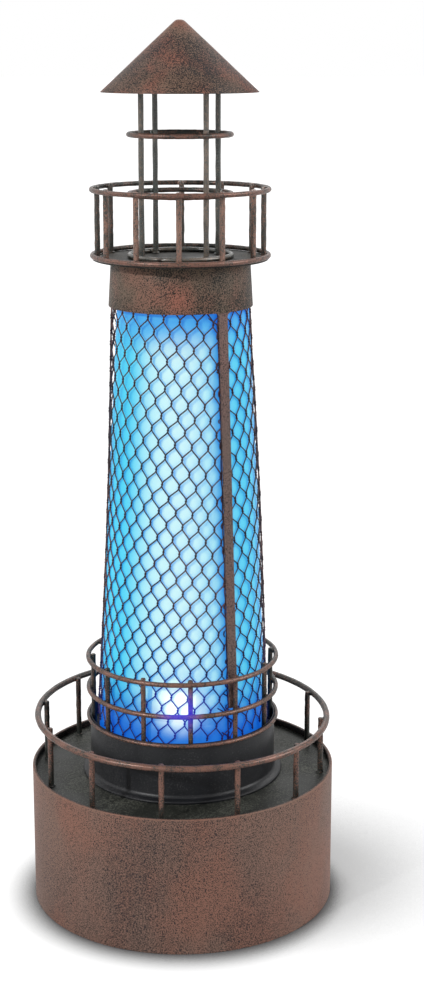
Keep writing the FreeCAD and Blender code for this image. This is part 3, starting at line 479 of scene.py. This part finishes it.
# The inner rail and the plinth's bead take painted blue glow near the hot spot.
INNER_RING_COAT = rail_coat("inner_ring_coat", painted_glow=1.0)
INNER_POST_COAT = rail_coat("inner_post_coat", reach=(-0.072, -0.015), bare=0.01, foot=0.150, painted_glow=1.0)
GALLERY_RING_COAT = rail_coat("gallery_ring_coat")
GALLERY_POST_COAT = rail_coat("gallery_post_coat", copper=(0.24, 0.130, 0.095), dark=(0.024, 0.027, 0.023),
                              reach=(-0.062, 0.0), gloss=0.26, shine=0.6)
LANTERN_COAT = rail_coat("lantern_coat", copper=(0.190, 0.140, 0.108), dark=(0.032, 0.038, 0.034),
                         bare=0.025, gloss=0.22, shine=0.9)
LIT_FILM = film("lit_film")
BLACK_PLASTIC = moulded("black_plastic", (0.022, 0.022, 0.024), 0.55)
WHITE_PLASTIC = moulded("white_plastic", (0.72, 0.72, 0.70), 0.5)
BOARD_GREEN = moulded("board_green", (0.03, 0.16, 0.06), 0.4)
LAMP_LENS = moulded("lamp_lens", (0.85, 0.92, 1.0), 0.15)
SCREW_STEEL = moulded("screw_steel", (0.55, 0.55, 0.56), 0.32, metallic=1.0)
GROMMET_RUBBER = moulded("grommet_rubber", (0.018, 0.018, 0.018), 0.7)
LEAD_JACKET = moulded("lead_jacket", (0.35, 0.03, 0.03), 0.45)
CONTACT_STEEL = moulded("contact_steel", (0.66, 0.64, 0.58), 0.25, metallic=1.0)
CELL_JACKET = cell_jacket("cell_jacket")


# Working the metal --------------------------------------------------------------------------------

# How near the axis a spun disc starts before its middle is closed.
MIDDLE = 0.001

# Flats round a wire, and cuts along a post.
WIRE_FLATS = 12
POST_CUTS = 14

# Unevenness of a thick coat on wire: its depth, and its lumps to the metre.
BEAD_SKIN = (0.12, 260)
RING_SKIN = (0.16, 230)
POST_SKIN = (0.30, 300)


def finished(name, bm, finish, node, body="lighthouse", crease=40):
    """Make the worked mesh a piece of the lighthouse, in place of the CAD node of that name."""
    mesh = bpy.data.meshes.new(name)
    bm.to_mesh(mesh)
    bm.free()
    mesh.polygons.foreach_set("use_smooth", [True] * len(mesh.polygons))
    mesh.set_sharp_from_angle(angle=math.radians(crease))
    mesh.materials.append(finish)
    piece = bpy.data.objects.new(name, mesh)
    bpy.context.collection.objects.link(piece)
    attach(piece, body)
    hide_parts(node)


def soften(bm, width, segments=2, limit=35):
    """Round by that width every edge that turns by more than limit degrees."""
    sharp = [edge for edge in bm.edges
             if edge.is_manifold and edge.calc_face_angle(0) > math.radians(limit)]
    bmesh.ops.bevel(bm, geom=sharp, offset=width * MM, segments=segments, profile=0.5, affect="EDGES",
                    clamp_overlap=True, material=-1)


def turn_outwards(bm):
    bmesh.ops.recalc_face_normals(bm, faces=bm.faces)


def spin_round(bm, corners, sides, steps):
    """Spin a closed outline once round the tower's axis."""
    bmesh.ops.spin(bm, geom=corners + sides, cent=(0, 0, 0), axis=(0, 0, 1), angle=math.tau, steps=steps,
                   use_merge=True)


def spin_outline(bm, outline, steps):
    """Spin a closed outline of radii and heights into sheet metal."""
    corners = [bm.verts.new(spot(radius, height)) for radius, height in outline]
    sides = [bm.edges.new(pair) for pair in zip(corners, corners[1:] + corners[:1])]
    spin_round(bm, corners, sides, steps)
    turn_outwards(bm)


def close_middle(bm):
    """Merge the middle of a spun disc into one point."""
    bmesh.ops.remove_doubles(bm, verts=bm.verts, dist=0.01 * MM)


def edges_of(corners):
    """Every edge that meets those corners, once each."""
    return list(dict.fromkeys(edge for corner in corners for edge in corner.link_edges))


def wire_ring(bm, radius, height, wire, steps=132):
    """Spin a round wire's section into a ring."""
    upright = Matrix.Translation(spot(radius, height)) @ Matrix.Rotation(math.pi / 2, 4, "Y")
    section = bmesh.ops.create_circle(bm, segments=WIRE_FLATS, radius=wire / 2 * MM, matrix=upright)["verts"]
    spin_round(bm, section, edges_of(section), steps)


def rod(bm, foot, top, wire):
    """A round upright wire with a softly rounded top end."""
    length = (top - foot).length
    made = bmesh.ops.create_cone(bm, cap_ends=True, segments=WIRE_FLATS, radius1=wire / 2 * MM,
                                 radius2=wire / 2 * MM, depth=length,
                                 matrix=Matrix.Translation((foot + top) / 2))["verts"]
    rim = [edge for edge in edges_of(made) if all(corner.co.z > top.z - 1e-6 for corner in edge.verts)]
    bmesh.ops.bevel(bm, geom=rim, offset=wire * 0.22 * MM, segments=2, profile=0.5, affect="EDGES",
                    material=-1)
    long_edges = [edge for edge in bm.edges if edge.calc_length() > length * 0.8]
    bmesh.ops.subdivide_edges(bm, edges=long_edges, cuts=POST_CUTS, use_grid_fill=True)


def weld_bead(bm, place, across, high):
    """A small lump of weld metal, flattened on what it joins."""
    shape = Matrix.Translation(place) @ Matrix.Diagonal((across / 2 * MM, across / 2 * MM, high / 2 * MM, 1))
    bmesh.ops.create_icosphere(bm, subdivisions=2, radius=1.0, matrix=shape)


def roughen(bm, depth, lumps, seed=0.0):
    """Push the skin in and out by up to that depth, as a thick uneven coat does."""
    bm.normal_update()
    shift = Vector((seed, seed * 1.7, -seed))
    for corner in bm.verts:
        corner.co += corner.normal * noise.noise(corner.co * lumps + shift) * depth * MM


# Sheet metal: base, plinth, collar, gallery and roof ----------------------------------------------


def make_base_drum():
    """Rolled band, open below, with its rim folded in to a hem."""
    inside = BASE_RADIUS - DECK_SHEET
    hem, hem_foot = inside - 1.4, BASE_RIM - 3
    bm = bmesh.new()
    outside = [(BASE_RADIUS, BASE_RIM * share) for share in (0, 0.25, 0.5, 0.75, 1)]
    spin_outline(bm, [(inside, 0), *outside, (hem, BASE_RIM), (hem, hem_foot), (inside, hem_foot),
                      (inside, 60)], 180)
    soften(bm, 0.58, 3)
    finished("base_drum_band", bm, BASE_COAT, "base_drum")


def make_base_deck():
    """Pressed pan of the base; its edge turns down inside the drum."""
    edge, under, skirt_foot = BASE_DECK_RADIUS, DECK_TOP - DECK_SHEET, DECK_TOP - 12
    bm = bmesh.new()
    spin_outline(bm, [(MIDDLE, DECK_TOP), (40, DECK_TOP), (80, DECK_TOP), (edge - 4, DECK_TOP),
                      (edge, DECK_TOP), (edge, skirt_foot), (edge - DECK_SHEET, skirt_foot),
                      (edge - DECK_SHEET, under), (MIDDLE, under)], 160)
    close_middle(bm)
    soften(bm, 0.4, 2, 60)
    finished("base_deck_pan", bm, DECK_COAT, "base_deck")


def make_plinth():
    """Plinth wall that flows out into its foot flange, the bead round its rim, and the deck inside."""
    wall = PLINTH_RADIUS
    band = bmesh.new()
    spin_outline(band, [(wall - PLINTH_SHEET, DECK_TOP), (FLANGE_RADIUS, DECK_TOP),
                        (FLANGE_RADIUS, DECK_TOP + 1.6), (82.6, DECK_TOP + 2.4), (79.6, DECK_TOP + 2.7),
                        (78.2, DECK_TOP + 3.6), (wall, DECK_TOP + 5.6), (wall, 140), (wall, PLINTH_TOP),
                        (wall - PLINTH_SHEET, PLINTH_TOP)], 160)
    soften(band, 0.3, 2, 50)
    finished("plinth_band", band, PLINTH_COAT, "plinth_drum")

    bead = bmesh.new()
    wire_ring(bead, wall + BEAD_WIRE / 2 + 0.05, PLINTH_TOP - BEAD_WIRE / 2, BEAD_WIRE, 144)
    roughen(bead, *BEAD_SKIN)
    turn_outwards(bead)
    finished("plinth_rim_bead", bead, INNER_RING_COAT, "plinth_rim_wire")

    deck = bmesh.new()
    under = PLINTH_DECK_TOP - DECK_SHEET
    spin_outline(deck, [(MIDDLE, PLINTH_DECK_TOP), (60, PLINTH_DECK_TOP),
                        (PLINTH_DECK_RADIUS, PLINTH_DECK_TOP), (PLINTH_DECK_RADIUS, under),
                        (MIDDLE, under)], 120)
    close_middle(deck)
    finished("plinth_deck_disc", deck, DECK_COAT, "plinth_deck")


def make_collar():
    """Tapered band with softly rounded edges."""
    top = GALLERY_TOP - DECK_SHEET
    half_way, half_radius = (COLLAR_FOOT + top) / 2, (COLLAR_FOOT_RADIUS + COLLAR_TOP_RADIUS) / 2
    bm = bmesh.new()
    spin_outline(bm, [(COLLAR_FOOT_RADIUS - COLLAR_SHEET, COLLAR_FOOT), (COLLAR_FOOT_RADIUS, COLLAR_FOOT),
                      (half_radius, half_way), (COLLAR_TOP_RADIUS, top),
                      (COLLAR_TOP_RADIUS - COLLAR_SHEET, top), (half_radius - COLLAR_SHEET, half_way)], 160)
    soften(bm, 0.35, 3)
    finished("collar_band", bm, COLLAR_COAT, "collar")


def make_gallery_deck():
    """Flat disc that the upper rail and the lantern stand on."""
    under = GALLERY_TOP - DECK_SHEET
    bm = bmesh.new()
    spin_outline(bm, [(MIDDLE, GALLERY_TOP), (30, GALLERY_TOP), (60, GALLERY_TOP),
                      (GALLERY_DECK_RADIUS, GALLERY_TOP), (GALLERY_DECK_RADIUS, under), (MIDDLE, under)], 144)
    close_middle(bm)
    soften(bm, 0.3, 2, 60)
    finished("gallery_deck_disc", bm, GALLERY_COAT, "gallery_deck")


def make_roof():
    """Spun cone with a blunt tip and a thin rim."""
    slope = (TIP - ROOF_RIM) / (ROOF_RADIUS - ROOF_TIP_RADIUS)
    upper, lower = (TIP - (radius - ROOF_TIP_RADIUS) * slope for radius in (24, 44))
    bm = bmesh.new()
    spin_outline(bm, [(MIDDLE, TIP), (1.9, TIP - 0.1), (3.4, TIP - 0.7), (5.0, TIP - 2.0), (24, upper),
                      (44, lower), (ROOF_RADIUS, ROOF_RIM + 0.35), (ROOF_RADIUS, ROOF_RIM),
                      (ROOF_RADIUS - 1.2, ROOF_RIM + 0.05), (43, lower), (23, upper), (3.0, TIP - 1.5),
                      (MIDDLE, TIP - 1.3)], 160)
    close_middle(bm)
    finished("roof_spinning", bm, ROOF_COAT, "roof_cone", crease=50)


# Wire work: rails, posts and lantern --------------------------------------------------------------


def level(turn):
    """A rail that is welded on true."""
    return 0.0


def out_of_level(turn):
    """How far the outer rail's ring stands above its true height at a turn."""
    angle = math.radians(turn)
    return 0.7 - 2.2 * math.cos(angle) - 1.7 * math.sin(angle)


def make_ring(name, node, radius, height, wire, finish, seed, stand=level):
    """A hand-bent ring: round, with the slight unevenness of a thick coat."""
    bm = bmesh.new()
    wire_ring(bm, radius, height, wire)
    turn_outwards(bm)
    roughen(bm, *RING_SKIN, seed)
    for corner in bm.verts:
        corner.co.z += stand(turn_of(corner.co)) * MM
    finished(name, bm, finish, node)


def make_posts(name, node, count, first_turn, radius, foot, top, wire, finish, rings, seed, stand=level):
    """A round of upright wires, with a weld at each foot and beside each ring."""
    bm = bmesh.new()
    for step in range(count):
        turn = first_turn + 360 / count * step
        rod(bm, spot(radius, foot, turn), spot(radius, top + stand(turn), turn), wire)
        weld_bead(bm, spot(radius - 0.4, foot + 0.5, turn), wire * 1.45, 2.2)
        for height in rings:
            for side in (-1, 1):
                beside = turn + side * wire * 25 / radius
                weld_bead(bm, spot(radius + wire * 0.5, height + stand(turn), beside), wire * 0.7, wire * 0.85)
    turn_outwards(bm)
    roughen(bm, *POST_SKIN, seed)
    finished(name, bm, finish, node)


def make_outer_rail():
    make_ring("outer_rail_wire", "outer_rail_ring", OUTER_RING_RADIUS, OUTER_RING, OUTER_RING_WIRE,
              OUTER_RING_COAT, 1.0, out_of_level)
    make_posts("outer_rail_uprights", "outer_rail_posts", 12, OUTER_POST_TURN, OUTER_POST_RADIUS, DECK_TOP,
               OUTER_POST_TOP, OUTER_POST_WIRE, OUTER_POST_COAT, [OUTER_RING], 2.0, out_of_level)


def make_inner_rail():
    make_ring("inner_rail_low_wire", "inner_rail_low_ring", INNER_RING_RADIUS, INNER_LOW_RING, RAIL_WIRE,
              INNER_RING_COAT, 3.0)
    make_ring("inner_rail_top_wire", "inner_rail_top_ring", INNER_RING_RADIUS, INNER_TOP_RING, RAIL_WIRE,
              INNER_RING_COAT, 4.0)
    make_posts("inner_rail_uprights", "inner_rail_posts", 12, INNER_POST_TURN, INNER_POST_RADIUS,
               PLINTH_DECK_TOP, INNER_POST_TOP, RAIL_WIRE, INNER_POST_COAT, [INNER_LOW_RING, INNER_TOP_RING],
               5.0)


def make_gallery_rail():
    make_ring("gallery_edge_wire", "gallery_rim_wire", GALLERY_RING_RADIUS, UPPER_FOOT_RING, RAIL_WIRE,
              GALLERY_RING_COAT, 6.0)
    make_ring("gallery_rail_wire", "gallery_rail_ring", GALLERY_RING_RADIUS, GALLERY_RAIL_RING, RAIL_WIRE,
              GALLERY_RING_COAT, 7.0)
    make_posts("gallery_rail_uprights", "gallery_rail_posts", 12, GALLERY_POST_TURN, GALLERY_POST_RADIUS,
               GALLERY_TOP, GALLERY_POST_TOP, UPPER_POST_WIRE, GALLERY_POST_COAT,
               [UPPER_FOOT_RING, GALLERY_RAIL_RING], 8.0)


def make_lantern():
    make_ring("lantern_foot_wire", "lantern_foot_ring", LANTERN_RING_RADIUS, UPPER_FOOT_RING, RAIL_WIRE,
              LANTERN_COAT, 9.0)
    make_ring("lantern_middle_wire", "lantern_middle_ring", LANTERN_RING_RADIUS, LANTERN_MIDDLE_RING,
              RAIL_WIRE, GALLERY_RING_COAT, 10.0)
    make_ring("lantern_top_wire", "lantern_top_ring", LANTERN_RING_RADIUS, LANTERN_TOP_RING, RAIL_WIRE,
              GALLERY_RING_COAT, 11.0)
    make_posts("lantern_uprights", "lantern_posts", 4, LANTERN_POST_TURN, LANTERN_POST_RADIUS, GALLERY_TOP,
               LANTERN_POST_TOP, UPPER_POST_WIRE, LANTERN_COAT,
               [UPPER_FOOT_RING, LANTERN_MIDDLE_RING, LANTERN_TOP_RING], 12.0)


# Tower: flat bars ---------------------------------------------------------------------------------


def flat_bar():
    """One flat bar seen from the front, flared at its top by a small hollow on either side."""
    half, wide, lapped = BAR_WIDTH / 2, BAR_WIDTH / 2 + BAR_FLARE, COLLAR_FOOT + BAR_LAP
    bm = bmesh.new()
    outline = [(-half, BAR_FOOT), (half, BAR_FOOT), (half, COLLAR_FOOT), (wide, COLLAR_FOOT), (wide, lapped),
               (-wide, lapped), (-wide, COLLAR_FOOT), (-half, COLLAR_FOOT)]
    corners = [bm.verts.new((x * MM, 0, z * MM)) for x, z in outline]
    bm.faces.new(corners)
    hollows = [corners[2], corners[7]]
    bmesh.ops.bevel(bm, geom=hollows, offset=BAR_FLARE * 0.95 * MM, segments=6, profile=0.5,
                    affect="VERTICES", material=-1)
    grown = bmesh.ops.extrude_face_region(bm, geom=bm.faces[:])["geom"]
    back = [item for item in grown if isinstance(item, bmesh.types.BMVert)]
    bmesh.ops.translate(bm, verts=back, vec=(0, BAR_GAUGE * MM, 0))
    turn_outwards(bm)
    soften(bm, 0.25, 2, 60)
    return bm


def make_bars():
    """Two leaning flat bars, from the collar's edge down behind the inner rail."""
    bm = bmesh.new()
    for turn in (BAR_TURN, BAR_TURN + 180.0):
        bar = flat_bar()
        for corner in bar.verts:
            height = corner.co.z / MM
            radius = bar_face(min(height, COLLAR_FOOT)) + BAR_GAP - corner.co.y / MM
            corner.co = spot(radius, height, turn + math.degrees(corner.co.x / MM / radius))
        bent = bpy.data.meshes.new("bent_bar")
        bar.to_mesh(bent)
        bar.free()
        bm.from_mesh(bent)
        bpy.data.meshes.remove(bent)
    turn_outwards(bm)
    finished("tower_flat_bars", bm, BAR_COAT, "tower_legs")


# Tower: netting -----------------------------------------------------------------------------------

# Half-inch hexagonal netting: the width of its cells, the height of a row and of a twist in it, the
# thickness of its wire, and how far from a twist's middle its two wires lie, as a share of that.
CELL_WIDTH = 13.3
ROW_PITCH = 10.75
TWIST = 4.4
TWIST_STEPS = 6
NET_WIRE = 1.15
NET_WIRE_FLATS = 4
TWIST_RADIUS = 0.42

# The sheet of netting, laid flat: a sector of a circle whose middle is the tip of the tower's cone.
LEAN = math.atan(TAPER)
NET_DEPTH = 0.85
NET_FOOT_RADIUS = bar_face(PLINTH_DECK_TOP) - BAR_GAUGE - BAR_GAP - NET_DEPTH
SHEET_APEX = NET_FOOT_RADIUS / math.sin(LEAN)
SHEET_LENGTH = 400.0
TOWER_RISE = COLLAR_FOOT - PLINTH_DECK_TOP

# How far the netting goes: its lowest and highest twists, the turn of its two edges from the sheet's
# middle, and the overlap there at its foot and top, where it is laced.
NET_FOOT, NET_TOP = 150.8, 505.0
NET_EDGE = 178.6
LAP_TURN = 9.0
LAP_FOOT, LAP_TOP = 196.0, 486.0
LAP_LIFT = 0.8

# How the netting bows out: how far, and how wide the stretch is that a bar holds.
BELLY = 1.9
HELD_TURN = 22.0


def only_corners(grown):
    return [item for item in grown if isinstance(item, bmesh.types.BMVert)]


def only_edges(grown):
    return [item for item in grown if isinstance(item, bmesh.types.BMEdge)]


def netting_unit():
    """One twist of two wires, and the two slanting wires that leave its top."""
    bm = bmesh.new()
    for side in (-1, 1):
        beside = Matrix.Translation((side * NET_WIRE * TWIST_RADIUS, 0, 0))
        ring = bmesh.ops.create_circle(bm, segments=NET_WIRE_FLATS, radius=NET_WIRE / 2,
                                       matrix=beside @ Matrix.Rotation(math.pi / 2, 4, "X"))["verts"]
        turned = bmesh.ops.spin(bm, geom=ring + edges_of(ring), cent=(0, 0, 0), axis=(0, 1, 0),
                                angle=math.tau, steps=TWIST_STEPS, dvec=(0, TWIST / TWIST_STEPS, 0),
                                use_merge=False)["geom_last"]
        edges = only_edges(turned)
        across = side * (CELL_WIDTH / 2 - NET_WIRE * TWIST_RADIUS * 2)
        rise = ROW_PITCH - TWIST
        lean = math.atan2(across * 0.86, rise * 0.80)
        for sideways, up, bend in ((0.07, 0.10, 0.5), (0.86, 0.80, 0.0), (0.07, 0.10, -0.5)):
            grown = bmesh.ops.extrude_edge_only(bm, edges=edges)["geom"]
            ring, edges = only_corners(grown), only_edges(grown)
            bmesh.ops.translate(bm, verts=ring, vec=(across * sideways, rise * up, 0))
            centre = sum((corner.co for corner in ring), Vector()) / len(ring)
            bmesh.ops.rotate(bm, verts=ring, cent=centre, matrix=Matrix.Rotation(-lean * bend, 3, "Z"))
    mesh = bpy.data.meshes.new("netting_unit")
    bm.to_mesh(mesh)
    bm.free()
    return mesh


def belly(turn, height):
    """The netting bows out to its right and in on its left between the bars, and is held at the bars."""
    free = 1 - math.exp(-(math.remainder(turn - BAR_TURN, 360) / HELD_TURN) ** 2)
    share = max(0.0, math.sin(math.pi * (height - PLINTH_DECK_TOP) / TOWER_RISE)) ** 1.4
    return BELLY * math.sin(math.radians(turn)) * free * share


def net_radius(height):
    return NET_FOOT_RADIUS - (height - PLINTH_DECK_TOP) * TAPER


def unrolled(flat):
    """Turn from the sheet's middle, and height, that a point of the flat netting comes to."""
    reach = math.hypot(flat.x, SHEET_APEX - flat.y)
    turn = math.degrees(math.atan2(flat.x, SHEET_APEX - flat.y) / math.sin(LEAN))
    return turn, PLINTH_DECK_TOP + (NET_FOOT_RADIUS - reach * math.sin(LEAN)) / TAPER


def rolled(flat):
    """The place of a point of the flat netting once it is rolled round the tower."""
    turn, height = unrolled(flat)
    turn += BAR_TURN - 180
    return spot(net_radius(height) + flat.z + belly(turn, height), height, turn)


def strand(bm, places):
    """A thin wire through those places."""
    ring = bmesh.ops.create_circle(bm, segments=NET_WIRE_FLATS, radius=NET_WIRE / 2 * MM,
                                   matrix=Matrix.Translation(places[0]))["verts"]
    edges = edges_of(ring)
    for before, after in zip(places, places[1:]):
        grown = bmesh.ops.extrude_edge_only(bm, edges=edges)["geom"]
        edges = only_edges(grown)
        bmesh.ops.translate(bm, verts=only_corners(grown), vec=after - before)


def lace_seam(bm):
    """The edge wires of the netting beside the front bar, and the cut ends that are wound round them."""
    chance = random.Random(5)

    def beside(side, height, away, proud):
        radius = net_radius(height)
        turn = BAR_TURN + side * math.degrees((BAR_WIDTH / 2 + away) / radius)
        return spot(radius + proud, height, turn)

    for side in (-1, 1):
        heights = [PLINTH_DECK_TOP + 1 + step * 5.9 for step in range(61)]
        strand(bm, [beside(side, height, chance.uniform(-0.4, 0.5), 0.3) for height in heights])
    loop = ((-0.5, 0.0), (0.7, 0.12), (1.0, 0.45), (0.75, 0.8), (-0.5, 1.0))
    for row in range(16):
        foot = PLINTH_DECK_TOP + 8 + row * 2 * ROW_PITCH + chance.uniform(-4, 4)
        wide, high = chance.uniform(0.8, 2.4), chance.uniform(4.0, 7.0)
        strand(bm, [beside(-1, foot + up * high, out * wide, 0.5) for out, up in loop])


def lay_flat(unit):
    """Rows of twists over the flat sheet, cut to the sector that goes round the tower."""
    bm = bmesh.new()
    columns = int(NET_FOOT_RADIUS * math.pi / CELL_WIDTH) + 2
    for row in range(-1, int(SHEET_LENGTH / ROW_PITCH)):
        shift = CELL_WIDTH / 2 if row % 2 else 0.0
        for column in range(-columns, columns + 1):
            corner = Vector((column * CELL_WIDTH + shift, row * ROW_PITCH, 0))
            turn, height = unrolled(corner)
            overlap = 0.0 if LAP_FOOT <= height <= LAP_TOP else LAP_TURN
            if not (-NET_EDGE - overlap <= turn <= NET_EDGE and NET_FOOT <= height <= NET_TOP):
                continue
            corner.z = LAP_LIFT if turn < -NET_EDGE else 0.0
            placed = unit.copy()
            placed.transform(Matrix.Translation(corner))
            bm.from_mesh(placed)
            bpy.data.meshes.remove(placed)
    bmesh.ops.remove_doubles(bm, verts=bm.verts, dist=0.02)
    return bm


def make_netting():
    """Netting rolled round the tower; its two edges meet behind the front bar."""
    unit = netting_unit()
    bm = lay_flat(unit)
    bpy.data.meshes.remove(unit)
    for corner in bm.verts:
        sway = noise.noise_vector(corner.co * 0.035)
        corner.co = rolled(corner.co + Vector((sway.x * 1.1, sway.y * 0.9, sway.z * 0.2)))
    lace_seam(bm)
    bmesh.ops.holes_fill(bm, edges=[edge for edge in bm.edges if edge.is_boundary], sides=NET_WIRE_FLATS)
    turn_outwards(bm)
    finished("tower_wire_netting", bm, NETTING_COAT, "tower_netting", crease=80)


# Tower: light sleeve ------------------------------------------------------------------------------

FILM_FOOT, FILM_TOP = 150.0, 514.0
FILM_FOOT_RADIUS, FILM_TOP_RADIUS = 70.0, 52.3
FILM_LEAN = 1.8
FILM_LEAN_FOOT = 220.0
FILM_LEAN_RISE = 290.0
FILM_BELLY_SHARE = 0.75


def make_sleeve():
    """Rolled film tube inside the netting; it leans a little to its right towards its top."""
    half_way, half_radius = (FILM_FOOT + FILM_TOP) / 2, (FILM_FOOT_RADIUS + FILM_TOP_RADIUS) / 2
    bm = bmesh.new()
    spin_outline(bm, [(FILM_FOOT_RADIUS - FILM_WALL, FILM_FOOT), (FILM_FOOT_RADIUS, FILM_FOOT),
                      (half_radius, half_way), (FILM_TOP_RADIUS, FILM_TOP),
                      (FILM_TOP_RADIUS - FILM_WALL, FILM_TOP), (half_radius - FILM_WALL, half_way)], 160)
    for corner in bm.verts:
        turn, height = turn_of(corner.co), corner.co.z / MM
        outwards = Vector((corner.co.x, corner.co.y, 0)).normalized()
        corner.co += outwards * max(0.0, belly(turn, height)) * FILM_BELLY_SHARE * MM
        corner.co.x += FILM_LEAN * MM * max(0.0, (height - FILM_LEAN_FOOT) / FILM_LEAN_RISE)
    finished("light_sleeve_film", bm, LIT_FILM, "light_sleeve")


# Lamp, leads and battery box ----------------------------------------------------------------------


def worked_copy(name, node, finish, rounding, body="lighthouse"):
    """The CAD node's own shape with its edges softly moulded."""
    bm = bmesh.new()
    bm.from_mesh(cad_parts[node].data)
    bmesh.ops.remove_doubles(bm, verts=bm.verts, dist=0.002 * MM)
    bmesh.ops.dissolve_limit(bm, angle_limit=math.radians(2), verts=bm.verts, edges=bm.edges)
    soften(bm, rounding, 2, 50)
    finished(name, bm, finish, node, body=body)


def make_works():
    """The box, its lid, the switch's knob and the lamp holder, and the finish of the small CAD pieces."""
    worked_copy("battery_box_tray", "battery_box", BLACK_PLASTIC, 0.3)
    worked_copy("battery_cover_lid", "battery_cover", BLACK_PLASTIC, 0.25, body="battery_cover")
    worked_copy("switch_knob_slider", "switch_knob", BLACK_PLASTIC, 0.2, body="switch_knob")
    worked_copy("lamp_holder_puck", "lamp_holder", WHITE_PLASTIC, 0.4)
    for node, finish in (("led_board", BOARD_GREEN), ("led_lamps", LAMP_LENS), ("lamp_screws", SCREW_STEEL),
                         ("box_screws", SCREW_STEEL), ("deck_grommet", GROMMET_RUBBER),
                         ("plinth_grommet", GROMMET_RUBBER), ("lead_wires", LEAD_JACKET),
                         ("battery_cells", CELL_JACKET), ("cell_contacts", CONTACT_STEEL),
                         ("switch_body", BLACK_PLASTIC)):
        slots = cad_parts[node].data.materials
        slots.clear()
        slots.append(finish)


# Floor and light ----------------------------------------------------------------------------------

FLOOR_SIZE = 40
FLOOR_SEEN = (0.08, 0.08, 0.08)
FLOOR_BOUNCE = (0.80, 0.80, 0.80)
SKY_LIGHT = 0.34

# Each lamp's turn and height in degrees, its softness in degrees, and its power.
LAMPS = {"key_lamp": (-44, 27, 3, 2.3), "right_lamp": (80, 27, 36, 2.2), "left_lamp": (-98, 27, 36, 0.5),
         "back_lamp": (175, 48, 45, 0.8)}


def floor_finish():
    """A pale floor: white to the camera, but for the soft shade round the base and to its right."""
    pale = Finish("pale_floor", roughness=0.9)
    seen = pale.add("ShaderNodeLightPath").outputs["Is Camera Ray"]
    pale.colour(pale.blend(seen, FLOOR_BOUNCE, FLOOR_SEEN))
    open_above = pale.openness(pale.direction(-0.06, 0.08, 0.99), 0.045, 16)
    open_left = pale.openness(pale.direction(-0.82, -0.38, 0.42), 0.28, 16)
    close_shade = pale.fade(open_above, 0.46, 0.95)
    long_shade = pale.fade(pale.maths("POWER", pale.fade(open_left, 0.0, 0.97), 3.0), 0.0, 1.0, 0.42, 1.0)
    pale.glow((1, 1, 1), pale.times(seen, pale.maths("MINIMUM", close_shade, long_shade)))
    return pale.material


def make_floor():
    bm = bmesh.new()
    bmesh.ops.create_grid(bm, x_segments=1, y_segments=1, size=FLOOR_SIZE)
    mesh = bpy.data.meshes.new("floor")
    bm.to_mesh(mesh)
    bm.free()
    floor = bpy.data.objects.new("floor", mesh)
    bpy.context.collection.objects.link(floor)
    mesh.materials.append(floor_finish())


def set_world():
    """Soft even light from all round; the camera, metal and glass see plain white."""
    world = bpy.data.worlds.new("studio")
    world.use_nodes = True
    bpy.context.scene.world = world
    tree = world.node_tree
    tree.nodes.clear()
    rays = tree.nodes.new("ShaderNodeLightPath")
    soft = tree.nodes.new("ShaderNodeBackground")
    soft.inputs["Strength"].default_value = SKY_LIGHT
    white = tree.nodes.new("ShaderNodeBackground")
    white.inputs["Color"].default_value = (1, 1, 1, 1)
    seen = rays.outputs["Is Camera Ray"]
    for name in ("Is Glossy Ray", "Is Transmission Ray"):
        either = tree.nodes.new("ShaderNodeMath")
        either.operation = "MAXIMUM"
        tree.links.new(seen, either.inputs[0])
        tree.links.new(rays.outputs[name], either.inputs[1])
        seen = either.outputs[0]
    mix = tree.nodes.new("ShaderNodeMixShader")
    tree.links.new(seen, mix.inputs["Fac"])
    tree.links.new(soft.outputs[0], mix.inputs[1])
    tree.links.new(white.outputs[0], mix.inputs[2])
    tree.links.new(mix.outputs[0], tree.nodes.new("ShaderNodeOutputWorld").inputs["Surface"])


def set_lamps():
    """Wide soft lamps far off, each turned from the front and raised."""
    for name, (turn, height, softness, power) in LAMPS.items():
        lamp = bpy.data.lights.new(name, "SUN")
        lamp.angle = math.radians(softness)
        lamp.energy = power
        hung = bpy.data.objects.new(name, lamp)
        hung.rotation_euler = (math.radians(90 - height), 0, math.radians(turn))
        bpy.context.collection.objects.link(hung)


make_base_drum()
make_base_deck()
make_plinth()
make_collar()
make_gallery_deck()
make_roof()
make_outer_rail()
make_inner_rail()
make_gallery_rail()
make_lantern()
make_bars()
make_netting()
make_sleeve()
make_works()
make_floor()
set_world()
set_lamps()
bpy.context.scene.view_settings.view_transform = "Standard"
